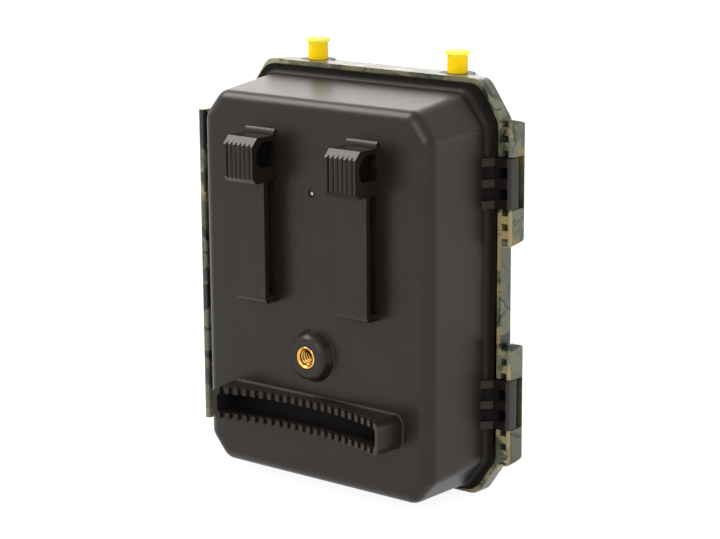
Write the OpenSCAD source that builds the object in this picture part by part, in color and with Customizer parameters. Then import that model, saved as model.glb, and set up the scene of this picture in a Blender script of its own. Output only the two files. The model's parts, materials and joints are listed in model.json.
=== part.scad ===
// Trail camera: a dark back cover with strap loops, tripod thread and tree bracket,
// and a printed front shell that swings open on two hinge pins. Millimetres.
// Origin: on the flat underside, in the plane of the two antenna jacks.
// +Z is up, the lens looks along -Y, the tripod thread opens along +Y.

/* [Front shell] */
// Width across the rim of the front shell
rim_w = 117.4; // [100:0.1:145]
// Height of the rim, which is the height of the housing
rim_h = 151.8; // [128:0.1:185]
// Width of the cut corners of the rim
cut_w = 9.7; // [6:0.1:13]
// Height of the cut corners of the rim
cut_h = 14; // [8:0.1:19]
// Depth of the front shell, joint face to front face
front_depth = 28; // [25:0.1:34]
// Depth of the straight band behind the taper
band_depth = 6; // [4:0.1:8]
// Width of the sealing face round the opening
land_w = 5.2; // [4.6:0.1:6.5]
// Wall of both housings
wall = 2.4; // [1.8:0.1:3]

/* [Back cover] */
// Depth of the back cover, joint face to back face
cover_depth = 33.3; // [31:0.1:42]
// How far each side of the back face lies inside the rim, before its edge is rounded
side_draft = 6.45; // [5.5:0.05:12]
// Height of the back face above the underside
back_low = 3.3; // [2:0.1:6]
// How far the back face stops below the top of the rim
back_drop = 8.5; // [5:0.1:12]
// Radius of the back face's rounded edge
edge_r = 4.5; // [2:0.1:6]
// How far the flange edge lies inside the rim
flange_in = 1.7; // [1.2:0.1:2.5]
// Thickness of the flange
flange_t = 1.8; // [1.7:0.1:3]

/* [Hinge] */
// Distance of the hinge pins outside the rim
hinge_out = 1.7; // [1.2:0.1:2.4]
// Depth of the hinge pins in front of the joint face
hinge_in = 3; // [2.6:0.1:3.6]
// Height between the two hinges
hinge_gap = 80.2; // [65:0.1:100]
// Diameter of a hinge pin
pin_d = 2.5; // [2:0.1:3]
// Radial running clearance of the leaf on its pin
pin_play = 0.06; // [0.02:0.01:0.1]
// Length of a hinge lump on the shell
lump_len = 45.5; // [38:0.1:52]
// Length of a hinge leaf on the cover
leaf_len = 18; // [15:0.1:20]
// Gap between leaf and lump at each end
leaf_gap = 0.35; // [0.2:0.05:0.6]

/* [Side latch] */
// Distance of the latch plate's outer face outside the rim
latch_out = 7.3; // [6.8:0.1:9]
// Thickness of the latch plate
latch_t = 2.6; // [2:0.1:3.5]
// Height of the latch plate
latch_len = 120; // [90:0.1:140]
// How far the latch plate reaches behind the joint face
latch_reach = 20.8; // [14:0.1:26]
// Diameter of the latch pin
latch_pin_d = 2.5; // [2:0.1:3]

/* [Strap loops] */
// Distance of each loop from the middle
loop_x = 23.4; // [18:0.1:30]
// Width of a loop
loop_w = 13.7; // [10:0.1:16]
// Gap between the loop plate and the pad behind it, for the strap
strap_gap = 4.3; // [4.1:0.1:6]
// Thickness of the loop plate
loop_t = 2.1; // [1.8:0.1:3]
// Height of the strap slot
strap_slot = 42.1; // [32:0.1:46]
// Height of a loop's foot above the underside
loop_low = 69; // [60:0.1:78]
// How far the grip block stands off the back face
grip_out = 12.8; // [11:0.1:14]
// Height of the grip block
grip_h = 16.5; // [14:0.1:19]
// Grooves across each grip block
grip_grooves = 6; // [4:1:8]

/* [Tripod thread] */
// Height of the thread's axis above the underside
thread_z = 51.3; // [46:0.1:58]
// Diameter of the brass insert
insert_d = 8.4; // [7:0.1:10]
// Length of the brass insert
insert_len = 9; // [7:0.1:10]
// Minor diameter of the thread
thread_d = 5.2; // [4:0.1:6]
// Height of the moulded boss round the insert
boss_h = 4.6; // [3:0.1:6]
// Diameter of the boss at its foot
boss_d = 19; // [17:0.1:23]
// Diameter of the boss at its face
boss_face_d = 14.1; // [12:0.1:18]

/* [Tree bracket] */
// Width of the bracket at the back face
bracket_w = 80.8; // [60:0.1:88]
// Overall height of the bracket
bracket_h = 12.6; // [11:0.1:15]
// Height of the bracket's middle above the underside
bracket_z = 29.6; // [20:0.1:33]
// How far the bracket's ends stand off the back face
bracket_out = 12; // [9:0.1:15]
// How far its middle stands off the back face
bracket_mid = 5.6; // [5:0.1:8]
// Thickness of the bracket's walls
bracket_t = 2.6; // [2:0.1:3]
// Teeth along each edge
teeth = 21; // [15:1:25]

/* [Antennas] */
// Depth of the antenna jacks in front of the joint face
jack_in = 9.6; // [8.6:0.1:10.6]
// Distance of each antenna jack from the middle
jack_x = 32.3; // [25:0.1:36]
// Thread diameter of an antenna jack
jack_d = 6.2; // [6:0.05:6.4]
// Length of the jack above its washer
jack_out = 6.4; // [5:0.1:8]
// Diameter of the washer under the jack's nut
washer_d = 12.8; // [11:0.1:14]
// Height of a dust cap
cap_h = 7.9; // [7:0.1:10]
// Wall of a dust cap
cap_wall = 0.54; // [0.5:0.02:0.9]

/* [Power] */
// Diameter of a cell
cell_d = 14.2; // [13.7:0.1:14.5]
// Length of a cell
cell_len = 50; // [49:0.1:50.5]
// Cells side by side in each of the two rows
cell_cols = 4; // [2:1:4]

/* [Hidden] */
$fn = 48;

// Clearances and small fixed sizes
fit = 0.25;
corner_r = 6;
fillet_r = 2.4;
eps = 0.01;

// Places that several pieces share
split_y = jack_in;
back_y = split_y + cover_depth;
front_y = split_y - front_depth;
rim_x = rim_w / 2;
mid_z = rim_h / 2;
flange_x = rim_x - flange_in;
hinge_x = rim_x + hinge_out;
latch_x = rim_x + latch_out;

// An outline is [half width, low z, high z, cut width, cut height].
rim = [rim_x, 0, rim_h, cut_w, cut_h];
flange = inset(rim, flange_in);
cover_back = [rim_x - side_draft, back_low, rim_h - back_drop, cut_w - 2.2, cut_h - 5];
cover_root = [flange_x - 2.8, back_low - 0.3, rim_h - flange_in - 2.8, cut_w - 0.7, cut_h - 2];

// Form of the front shell: depth, side inset, underside rise, top drop, growth of the cut
base_depth = 17;
bevel_depth = 4;
front_form = [
    [0, 0, 0, 0, 0],
    [band_depth, 0, 0, 0, 0],
    [base_depth, 9.2, 0, 1.2, 3],
    [front_depth - bevel_depth, 15.7, 3, 4.8, 4],
    [front_depth, 19.7, 7.5, 9.3, 3.5]];

function unit(v) = v / norm(v);
function mix(a, b, s) = a + (b - a) * s;

// Points of an arc of radius r that rounds corner b between a and c
function corner_arc(a, b, c, r, n) = let (
        u = unit(a - b),
        v = unit(c - b),
        half = acos(u * v) / 2,
        centre = b + unit(u + v) * r / sin(half),
        from = b + u * r / tan(half) - centre,
        to = b + v * r / tan(half) - centre,
        start = atan2(from[1], from[0]),
        turn = (atan2(to[1], to[0]) - start + 540) % 360 - 180)
    [for (i = [0:n]) centre + r * [cos(start + turn * i / n), sin(start + turn * i / n)]];
function rounded(p, r, n = 4) = [for (i = [0:len(p) - 1])
    each corner_arc(p[(i + len(p) - 1) % len(p)], p[i], p[(i + 1) % len(p)], r, n)];

function inset(o, d) = let (slope = norm([o[3], o[4]]))
    [o[0] - d, o[1] + d, o[2] - d,
     o[3] - d * (1 + (o[3] - slope) / o[4]), o[4] - d * (1 + (o[4] - slope) / o[3])];
function corners(o) = [
    [-o[0] + o[3], o[1]], [o[0] - o[3], o[1]], [o[0], o[1] + o[4]], [o[0], o[2] - o[4]],
    [o[0] - o[3], o[2]], [-o[0] + o[3], o[2]], [-o[0], o[2] - o[4]], [-o[0], o[1] + o[4]]];
function ring(o, r, y, n = 3) = [for (p = rounded(corners(o), r, n)) [p[0], y, p[1]]];

// Closed solid through rings that follow each other along +Y
module loft(rings) {
    n = len(rings[0]);
    last = len(rings) - 1;
    sides = [for (k = [0:last - 1], i = [0:n - 1]) let (
            j = (i + 1) % n, a = k * n + i, b = k * n + j, c = b + n, d = a + n)
        each [[a, b, c], [a, c, d]]];
    front_cap = [for (i = [n - 1:-1:0]) i];
    back_cap = [for (i = [0:n - 1]) last * n + i];
    polyhedron([for (r = rings) each r], concat([front_cap], sides, [back_cap]));
}
// Straight prism of an outline, from y0 to y1
module slab(o, r, y0, y1) {
    translate([0, y1, 0]) rotate([90, 0, 0]) linear_extrude(y1 - y0) polygon(rounded(corners(o), r, 3));
}
// Extrusion of an XZ drawing, from y0 to y1
module along_y(y0, y1) {
    translate([0, y1, 0]) rotate([90, 0, 0]) linear_extrude(y1 - y0) children();
}
// Extrusion of an XY drawing, from z0 to z1
module along_z(z0, z1) {
    translate([0, 0, z0]) linear_extrude(z1 - z0) children();
}
module rod_y(x, z, d, y0, y1) {
    translate([x, y0, z]) rotate([-90, 0, 0]) cylinder(h = y1 - y0, d = d);
}
module rod_z(x, y, d, z0, z1) {
    translate([x, y, z0]) cylinder(h = z1 - z0, d = d);
}
module block(x0, x1, y0, y1, z0, z1) {
    translate([x0, y0, z0]) cube([x1 - x0, y1 - y0, z1 - z0]);
}
// Upright plate with rounded corners, centred on x and z
module plate(x, z, w, h, r, y0, y1) {
    along_y(y0, y1) translate([x, z]) polygon(rounded(
        [[-w / 2, -h / 2], [w / 2, -h / 2], [w / 2, h / 2], [-w / 2, h / 2]], r, 5));
}

/* ---- Back cover and what is fixed to it ---- */

thread_seat = back_y + boss_h;
insert_low = thread_seat - insert_len;
hinge_y = split_y - hinge_in;
hinge_zs = [mid_z - hinge_gap / 2, mid_z + hinge_gap / 2];
knuckle_r = 2.7;
leaf_proud = flange_t - 0.3;
leaf_rib = 2.9;
leaf_pitch = (leaf_len - leaf_rib) / 2;
gusset_out = 5.6;
window_w = 3.4;
pocket_w = 2.6;

function cover_at(y) = mix(cover_back, cover_root, (back_y - y) / cover_depth);
cover_form = concat(
    [[flange, 0, split_y], [flange, 0, split_y + flange_t]],
    [for (a = [90:-18:0])
        let (y = split_y + flange_t + fillet_r * (1 - sin(a)))
        [mix(cover_at(y), flange, 0.88 * (1 - cos(a))), 0, y]],
    [for (a = [90:-15:0])
        let (y = back_y - edge_r * (1 - cos(a)))
        [inset(cover_at(y), edge_r * (1 - sin(a))), edge_r * (1 - sin(a)), y]]);
cover_hollow = concat(
    [[inset(cover_at(split_y), wall), split_y - 1]],
    [for (a = [90:-30:0])
        let (y = back_y - wall - (edge_r - wall) * (1 - cos(a)))
        [inset(cover_at(y), wall + (edge_r - wall) * (1 - sin(a))), y]]);

gasket_w = 1.8;
gasket_deep = 0.6 * flange_t;
gasket_in = land_w - gasket_w - 0.3;
module gasket_ring(deep) {
    difference() {
        slab(inset(rim, gasket_in), 4, split_y, split_y + deep);
        slab(inset(rim, gasket_in + gasket_w), 3, split_y - 1, split_y + deep + 1);
    }
}

module leaf_profile() {
    translate([-hinge_x, hinge_y]) circle(knuckle_r);
    polygon(concat(
        corner_arc([-hinge_x + 4, split_y + leaf_proud], [-hinge_x - knuckle_r, split_y + leaf_proud],
            [-hinge_x - knuckle_r, hinge_y], 1.2, 5),
        [[-hinge_x - knuckle_r, hinge_y], [-hinge_x + knuckle_r - 0.2, hinge_y],
         [-hinge_x + knuckle_r - 0.2, split_y + eps], [-cover_root[0] + wall, split_y + eps],
         [-cover_root[0] + wall, split_y + leaf_proud]]));
}
module gusset_profile() {
    polygon([[-cover_root[0] + 1, split_y + eps], [-flange_x - 0.4, split_y + eps],
        [-flange_x - 0.4, split_y + flange_t], [-flange_x, split_y + flange_t + 0.3],
        [-cover_root[0], split_y + gusset_out], [-cover_root[0] + 1, split_y + gusset_out]]);
}
module hinge_leaf(z) {
    difference() {
        union() {
            along_z(z - leaf_len / 2, z + leaf_len / 2) leaf_profile();
            for (i = [-1:1])
                along_z(z + i * leaf_pitch - leaf_rib / 2, z + i * leaf_pitch + leaf_rib / 2)
                    gusset_profile();
        }
        rod_z(-hinge_x, hinge_y, pin_d + 2 * pin_play, z - leaf_len, z + leaf_len);
        for (i = [-0.5, 0.5])
            block(-hinge_x - window_w / 2, -hinge_x + window_w / 2, hinge_y - 1, split_y + 2,
                z + i * leaf_pitch - 2, z + i * leaf_pitch + 2);
    }
}

tray_wall = 1.6;
cell_pitch = cell_d + 0.5;
cell_bay = cell_len + 5.6;
lid_t = 1.5;
tray_y = split_y + 2.6;
cell_y = tray_y + cell_d / 2 + 0.3;
tray_back = tray_y + cell_d + 0.6 + tray_wall;
tray_x = cell_cols * cell_pitch / 2 + tray_wall;
tray_z = mid_z - 1;
tray_h = cell_bay + 1.5 * tray_wall;
lug_x = tray_x + 4;
lug_zs = [tray_z - tray_h + 12, tray_z + tray_h - 12];
screw_d = 2.5;

// Round boss that tapers from its foot to a chamfered face
module thread_boss() {
    face = boss_face_d / 2;
    foot = boss_d / 2;
    translate([0, back_y, thread_z]) rotate([-90, 0, 0]) rotate_extrude()
        polygon([[0, -eps], [foot + 0.5, -eps], [foot + 0.12, 0.14], [foot, 0.5],
            [face + 1.1, boss_h - 0.9], [face, boss_h], [0, boss_h]]);
}

module back_cover() color([0.235, 0.22, 0.21]) {
    difference() {
        union() {
            difference() {
                loft([for (f = cover_form) ring(f[0], corner_r - f[1], f[2])]);
                loft([for (f = cover_hollow) ring(f[0], 2, f[1])]);
            }
            thread_boss();
            rod_y(0, thread_z, insert_d + 4.6, insert_low - 2, back_y - wall + eps);
            for (x = [-lug_x, lug_x], z = lug_zs)
                rod_y(x, z, 6, tray_back, back_y - wall + eps);
            for (z = hinge_zs) hinge_leaf(z);
        }
        gasket_ring(gasket_deep);
        rod_y(0, thread_z, insert_d, insert_low, thread_seat + 1);
        for (x = [-lug_x, lug_x], z = lug_zs)
            rod_y(x, z, screw_d, tray_back - 1, back_y - wall - 0.5);
        rod_y(0, gate_z, 3.4, back_y - 0.5, back_y + 1);
    }
    rod_y(0, gate_z, 1.1, back_y - 0.5 - eps, back_y - 0.15);
}
gate_z = thread_z + 59.3;

// A strap loop and its grip block, drawn as a side view that is swept across its width
foot_h = 2.5;
pad_t = 0.5;
lip_h = 2.1;
lip_t = 1.3;
scoop_r = 5.3;
scoop_low = 4;
scoop_deep = 4;
groove_deep = 1.1;
chamfer = 1.9;
function loop_top() = loop_low + foot_h + strap_slot;
module loop_side() {
    out = back_y + pad_t + strap_gap + loop_t;
    tip = back_y + grip_out;
    z2 = loop_top();
    z3 = z2 + grip_h;
    difference() {
        polygon(concat(
            [[back_y, loop_low]],
            corner_arc([back_y, loop_low], [out, loop_low], [out, z2], 2, 4),
            [[out, z2], [tip - chamfer, z2], [tip, z2 + chamfer], [tip, z3 - chamfer], [tip - chamfer, z3],
             [back_y + lip_t, z3], [back_y + lip_t, z3 + lip_h - 1], [back_y + lip_t - 1, z3 + lip_h],
             [back_y, z3 + lip_h]]));
        translate([back_y + pad_t, loop_low + foot_h]) square([strap_gap, strap_slot]);
    }
}
module strap_loop(side) {
    x = side * loop_x;
    z2 = loop_top();
    tip = back_y + grip_out;
    pitch = loop_w / (grip_grooves + 0.6);
    scoop_y = back_y + lip_t + 4;
    scoop_z = z2 + 5.4 + scoop_low;
    difference() {
        translate([x - loop_w / 2, 0, 0]) rotate([90, 0, 90]) linear_extrude(loop_w) loop_side();
        for (i = [0:grip_grooves - 1])
            translate([x + (i - (grip_grooves - 1) / 2) * pitch, tip, z2 - 1])
                linear_extrude(grip_h + 2)
                    polygon([[-0.62, 0.5], [-0.62, 0], [0, -groove_deep], [0.62, 0], [0.62, 0.5]]);
        for (s = [-1, 1])
            translate([x + s * (loop_w / 2 - scoop_deep), 0, 0]) rotate([90, 0, s * 90])
                linear_extrude(scoop_deep + 1) scoop_outline(s, scoop_y, scoop_z);
    }
}
// Half-round pocket in the block's side, flat underneath
module scoop_outline(s, y, z) {
    intersection() {
        union() {
            translate([s * y, z]) circle(scoop_r);
            translate([s * (y - 2), z]) square([4, 2 * scoop_r], center = true);
        }
        translate([s * y - 10, z - scoop_low]) square([20, 20]);
    }
}
module strap_loop_left() color([0.235, 0.22, 0.21]) strap_loop(1);
module strap_loop_right() color([0.235, 0.22, 0.21]) strap_loop(-1);

// Tree bracket: two toothed walls with a concave edge, closed at the ends
arc_rise = bracket_out - bracket_mid;
arc_half = bracket_w / 2 - 1.8;
arc_r = (arc_half * arc_half + arc_rise * arc_rise) / (2 * arc_rise);
tooth_deep = 1.5;
bracket_r = 3.4;
module bracket_body() {
    half = bracket_h / 2;
    // Half width, half height and corner radius at each height off the back face
    form = [[bracket_w / 2 + 0.7, half + 0.7, bracket_r + 0.7, 0],
        [bracket_w / 2 + 0.2, half + 0.2, bracket_r + 0.2, 0.2], [bracket_w / 2, half, bracket_r, 0.7], [arc_half + 0.4, half - 0.3, bracket_r - 0.6, bracket_out]];
    difference() {
        loft([for (f = form) let (
                box = [[-f[0], -f[1]], [f[0], -f[1]], [f[0], f[1]], [-f[0], f[1]]])
            [for (p = rounded(box, f[2], 4)) [p[0], back_y + f[3], bracket_z + p[1]]]]);
        translate([0, back_y + bracket_mid + arc_r, 0]) cylinder(h = 2 * rim_h, r = arc_r, $fn = 96);
    }
}
module tree_bracket() color([0.235, 0.22, 0.21]) {
    pitch = 2 * (arc_half - 1.6) / teeth;
    z0 = bracket_z - bracket_h / 2;
    difference() {
        bracket_body();
        plate(0, bracket_z, 2 * (arc_half - 1.4), bracket_h - 2 * bracket_t, 1.4, back_y - 1, back_y + bracket_out + 1);
        for (i = [0:teeth - 1]) let (
                x = (i - (teeth - 1) / 2) * pitch,
                edge = back_y + bracket_mid + arc_r - sqrt(arc_r * arc_r - x * x))
            block(x - pitch / 4, x + pitch / 4, edge - tooth_deep, edge + 5, z0 - 1, z0 + bracket_h + 1);
    }
}

module tripod_insert() color([0.83, 0.62, 0.25]) {
    difference() {
        rod_y(0, thread_z, insert_d, insert_low, thread_seat);
        rod_y(0, thread_z, thread_d, insert_low - 1, thread_seat + 1);
    }
}
module cover_gasket() color([0.12, 0.12, 0.12]) gasket_ring(gasket_deep);

/* ---- Battery compartment ---- */

lip = 1.2;
lid_y = tray_y - lid_t - 0.1;
cradle_h = 9;
cell_zs = [tray_z - (cell_bay + tray_wall) / 2, tray_z + (cell_bay + tray_wall) / 2];
function cell_x(i) = (i - (cell_cols - 1) / 2) * cell_pitch;
function cell_up(i, row) = (i + row) % 2 == 0 ? 1 : -1;

module battery_tray() color([0.16, 0.16, 0.17]) {
    difference() {
        union() {
            block(-tray_x, tray_x, lid_y - 0.9, tray_back, tray_z - tray_h, tray_z + tray_h);
            for (x = [-lug_x, lug_x], z = lug_zs) {
                rod_y(x, z, 7, tray_back - 2, tray_back);
                block(min(x, 0), max(x, 0), tray_back - 2, tray_back, z - 3.5, z + 3.5);
            }
        }
        for (z = cell_zs)
            block(-tray_x + tray_wall, tray_x - tray_wall, lid_y - 2, tray_back - tray_wall,
                z - cell_bay / 2, z + cell_bay / 2);
        // Groove in which the lid slides, open at the lower end
        block(-tray_x + tray_wall - 0.8, tray_x - tray_wall + 0.8, lid_y - 0.1, tray_y,
            tray_z - tray_h - 1, tray_z + tray_h - tray_wall);
        block(-tray_x + tray_wall + 0.4, tray_x - tray_wall - 0.4, lid_y - 2, lid_y,
            tray_z - tray_h - 1, tray_z + tray_h - tray_wall);
        for (x = [-lug_x, lug_x], z = lug_zs) rod_y(x, z, screw_d, tray_back - 5, tray_back + 1);
    }
    for (z = cell_zs, s = [-1, 1]) difference() {
        block(-tray_x + tray_wall - eps, tray_x - tray_wall + eps, cell_y + 1, tray_back - tray_wall + eps,
            z + s * cell_len / 4 - 1, z + s * cell_len / 4 + 1);
        for (i = [0:cell_cols - 1])
            rod_z(cell_x(i), cell_y, cell_d + 0.2, z - cell_len, z + cell_len);
    }
}
module battery_cells() color([0.55, 0.56, 0.58]) {
    for (row = [0, 1], i = [0:cell_cols - 1])
        translate([cell_x(i), cell_y, cell_zs[row]]) rotate([cell_up(i, row) > 0 ? 0 : 180, 0, 0])
            translate([0, 0, -cell_bay / 2 + 4.6]) {
                cylinder(h = cell_len - 1, d = cell_d);
                translate([0, 0, cell_len - 1 - eps]) cylinder(h = 1, d = 5.2);
            }
}

// Conical spring of round wire, standing on z = 0
module cone_spring(r0, r1, h, turns, wire) {
    steps = 9;
    n = round(turns * steps);
    sides = 5;
    loft_rings = [for (k = [0:n]) let (
            a = 360 * k / steps, s = k / n, r = mix(r0, r1, s))
        [for (j = [0:sides - 1]) let (b = -360 * j / sides, q = r + wire / 2 * cos(b))
            [q * cos(a), q * sin(a), wire / 2 + s * (h - wire) + wire / 2 * sin(b)]]];
    loft(loft_rings);
}
module battery_springs() color([0.75, 0.76, 0.78]) {
    for (row = [0, 1], i = [0:cell_cols - 1])
        translate([cell_x(i), cell_y, cell_zs[row]])
            rotate([cell_up(i, row) > 0 ? 0 : 180, 0, 0])
                translate([0, 0, -cell_bay / 2 + 0.6]) cone_spring(4.2, 2, 3.9, 2.5, 0.8);
}
module battery_contacts() color([0.78, 0.79, 0.8]) {
    for (row = [0, 1], i = [0:cell_cols - 1], s = [-1, 1])
        translate([cell_x(i), cell_y, cell_zs[row] + s * (cell_bay / 2 - 0.25)]) {
            cube([11, 11, 0.5], center = true);
            if (s == cell_up(i, row)) translate([0, 0, -s * 0.35]) cube([5, 5, 0.3], center = true);
        }
}
module battery_lid() color([0.16, 0.16, 0.17]) {
    difference() {
        union() {
            block(-tray_x + tray_wall - 0.6, tray_x - tray_wall + 0.6, lid_y, lid_y + lid_t - 0.1,
                tray_z - tray_h, tray_z + tray_h - tray_wall - fit);
            for (i = [-3:3])
                block(-12, 12, lid_y - 0.5, lid_y + eps, tray_z - tray_h + 14 + i * 2.4 - 0.6,
                    tray_z - tray_h + 14 + i * 2.4 + 0.6);
        }
        for (i = [-1:1]) plate(i * 14, tray_z + tray_h - 30, 8, 2, 0.9, lid_y - 1, lid_y + lid_t);
    }
}
module tray_screws() color([0.72, 0.73, 0.75]) {
    for (x = [-lug_x, lug_x], z = lug_zs) {
        rod_y(x, z, screw_d, tray_back - 2, tray_back + 8);
        rod_y(x, z, 5, tray_back - 3.6, tray_back - 2);
    }
}

/* ---- Front shell ---- */

function at_depth(t, k = 0) = t <= front_form[k + 1][0] || k + 2 >= len(front_form)
    ? mix(front_form[k], front_form[k + 1],
        (t - front_form[k][0]) / (front_form[k + 1][0] - front_form[k][0]))
    : at_depth(t, k + 1);
function shell_at(t) = let (f = at_depth(t))
    [rim_x - f[1], f[2], rim_h - f[3], cut_w + f[4], cut_h + 1.6 * f[4]];
nose_r = 2;
skin = 1.35 * wall;
shell_outer = concat(
    [for (a = [0:30:90])
        let (t = front_depth - nose_r * (1 - cos(a)))
        [inset(shell_at(t), nose_r * (1 - sin(a))), t]],
    [[shell_at(front_depth - bevel_depth), front_depth - bevel_depth],
     [shell_at(base_depth), base_depth], [rim, band_depth], [rim, 0]]);
shell_inner = [
    [inset(shell_at(front_depth - wall), skin), front_depth - wall],
    [inset(shell_at(front_depth - bevel_depth), skin), front_depth - bevel_depth],
    [inset(shell_at(base_depth), skin + 1), base_depth],
    [inset(rim, land_w), band_depth],
    [inset(rim, land_w), -1]];

notch_floor = split_y - hinge_in - knuckle_r - 1.6;
lump_out = hinge_out + knuckle_r;
lump_deep = 8.4;
lump_drop = 2;
pocket = 2.5;
pocket_pitch = 5.3;
module hinge_lump(z) {
    x1 = -rim_x - lump_out;
    x0 = -rim_x + 4.4;
    r = 1.5;
    y1 = split_y - lump_deep;
    low = z - lump_len / 2;
    high = z + lump_len / 2;
    intersection() {
        along_z(low, high) polygon(concat(
            [[x0, split_y]],
            corner_arc([x0, split_y], [x1, split_y], [x1, y1], r, 5),
            corner_arc([x1, split_y], [x1, y1], [x0, y1 - 1], r, 5),
            [[x0, y1 - 1]]));
        // Side view: ends that slope towards the front
        translate([x1 - 1, 0, 0]) rotate([90, 0, 90]) linear_extrude(x0 - x1 + 2) polygon(concat(
            [[split_y, low], [split_y, high]],
            corner_arc([split_y, high], [y1, high - lump_drop], [y1, z], 2.6, 5),
            [[y1 - 1.2, high - 8], [y1 - 1.2, low + 8]],
            corner_arc([y1, z], [y1, low + lump_drop], [split_y, low], 2.6, 5)));
        // Rear view: rounded outer corners
        along_y(y1 - 2, split_y) polygon(concat(
            [[x0, high]], [[x0, low]],
            corner_arc([x0, low], [x1, low], [x1, high], 1.8, 5),
            corner_arc([x1, low], [x1, high], [x0, high], 1.8, 5)));
    }
}
module hinge_cuts(z) {
    block(-rim_x - lump_out - 1, -rim_x + land_w - 2.9, notch_floor, split_y + 1,
        z - leaf_len / 2 - leaf_gap, z + leaf_len / 2 + leaf_gap);
    rod_z(-hinge_x, hinge_y, pin_d, z - lump_len / 2 + 2, z + lump_len / 2 + 1);
    for (s = [-1, 1], i = [0:2]) {
        pz = z + s * (leaf_len / 2 + 1.4 + i * pocket_pitch);
        block(-hinge_x + 0.3 - pocket_w / 2, -hinge_x + 0.3 + pocket_w / 2, hinge_y - 1, split_y + 1,
            pz - pocket / 2, pz + pocket / 2);
    }
}

boss_top = rim_h - 0.8;
washer_t = 0.6;
jack_body_d = jack_d + 0.4;
module jack_boss(side) rod_z(side * jack_x, 0, washer_d + 1.8, boss_top - 6, boss_top);
module jack_cuts(side) {
    rod_z(side * jack_x, 0, jack_body_d, boss_top - 8, boss_top + 1);
    rod_z(side * jack_x, 0, washer_d + 2 * fit, boss_top, boss_top + 3);
}

latch_pin_x = latch_x - latch_t - 3;
latch_pin_y = split_y - 10.6;
lug_r = 2.6;
lug_len = 8;
lug_step = latch_len / 2 - 14;
module latch_lug(z) {
    along_z(z - lug_len / 2, z + lug_len / 2) {
        translate([latch_pin_x, latch_pin_y]) circle(lug_r);
        polygon([[latch_pin_x, latch_pin_y + lug_r], [rim_x - 6, latch_pin_y + lug_r + 2],
            [rim_x - 10, latch_pin_y - lug_r], [latch_pin_x, latch_pin_y - lug_r]]);
    }
}

// Places of the pieces behind the front wall
led_z = mid_z + 36;
led_w = 58;
led_h = 42;
lens_z = mid_z - 4;
pir_z = mid_z - 42;
pir_w = 27;
sensor_x = 22;
post_x = 44;
post_z = 56;
panel_t = 2;
panel_y = split_y - 1;
led_board_y = front_y + 6.4;
recess = 1.2;

port_x = -24;
port_w = 26;
port_y0 = split_y - 14;
port_y1 = split_y - 6.6;
plug_rim = 1.6;
plug_t = 1.2;

module front_shell() color([0.36, 0.37, 0.25]) {
    difference() {
        union() {
            difference() {
                union() {
                    loft([for (f = shell_outer) ring(f[0], max(corner_r - 0.1 * f[1], 2), split_y - f[1])]);
                    for (z = hinge_zs) hinge_lump(z);
                    for (s = [-1, 1]) jack_boss(s);
                    for (i = [-1:1]) latch_lug(mid_z + i * lug_step);
                }
                loft([for (f = shell_inner) ring(f[0], 2, split_y - f[1])]);
            }
            for (x = [-post_x, post_x], s = [-1, 1])
                intersection() {
                    rod_y(x, mid_z + s * post_z, 6.5, front_y + 2, panel_y - panel_t);
                    loft([for (f = shell_outer) ring(inset(f[0], 1), 3, split_y - f[1])]);
                }
            for (x = [-1, 1], s = [-1, 1])
                rod_y(x * (led_w / 2 - 1), led_z + s * (led_h / 2 - 1), 4,
                    front_y + wall - 0.5, led_board_y - 1.6);
        }
        for (z = hinge_zs) hinge_cuts(z);
        for (s = [-1, 1]) jack_cuts(s);
        rod_z(latch_pin_x, latch_pin_y, latch_pin_d, mid_z - lug_step - lug_len, mid_z + lug_step + lug_len);
        for (x = [-post_x, post_x], s = [-1, 1])
            rod_y(x, mid_z + s * post_z, screw_d, front_y + 12, panel_y);
        // Recess of the face plate and the openings behind it
        slab(inset(shell_at(front_depth), 4), 5, front_y - 1, front_y + recess);
        plate(0, led_z, led_w - 6, led_h - 6, 3, front_y - 1, front_y + wall + 2);
        rod_y(0, lens_z, 20, front_y - 1, front_y + wall + 2);
        plate(0, pir_z, pir_w - 4, pir_w - 4, 3, front_y - 1, front_y + wall + 2);
        for (x = [-sensor_x, sensor_x]) rod_y(x, lens_z, 4, front_y - 1, front_y + wall + 2);
        // Port opening in the underside, with a recess for the plug's flap
        translate([port_x, 0, 0]) {
            block(-port_w / 2, port_w / 2, port_y0, port_y1, -1, skin + 3);
            block(-port_w / 2 - plug_rim, port_w / 2 + plug_rim,
                port_y0 - plug_rim, port_y1 + plug_rim, -1, plug_t);
        }
    }
}

/* ---- Front face ---- */

bezel_d = 30;
module face_plate() color([0.13, 0.13, 0.13]) {
    difference() {
        slab(inset(shell_at(front_depth), 4 + fit / 2), 5, front_y, front_y + recess);
        plate(0, led_z, led_w, led_h, 4, front_y - 1, front_y + recess + 1);
        rod_y(0, lens_z, bezel_d, front_y - 1, front_y + recess + 1);
        plate(0, pir_z, pir_w, pir_w, 4, front_y - 1, front_y + recess + 1);
        for (x = [-sensor_x, sensor_x]) rod_y(x, lens_z, 5.4, front_y - 1, front_y + recess + 1);
    }
}
module led_window() color([0.1, 0.05, 0.06]) {
    plate(0, led_z, led_w - 0.2, led_h - 0.2, 3.9, front_y - 0.3, front_y + recess);
}
module led_board() color([0.1, 0.3, 0.18]) {
    plate(0, led_z, led_w + 3, led_h + 3, 2, led_board_y - 1.6, led_board_y);
}
module ir_leds() color([0.85, 0.87, 0.9]) {
    for (i = [0:7], j = [0:4])
        translate([(i - 3.5) * 6.4, led_board_y - 1.6, led_z + (j - 2) * 6.6])
            rotate([90, 0, 0]) cylinder(h = 1.8, d = 3.6, $fn = 16);
}
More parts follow.
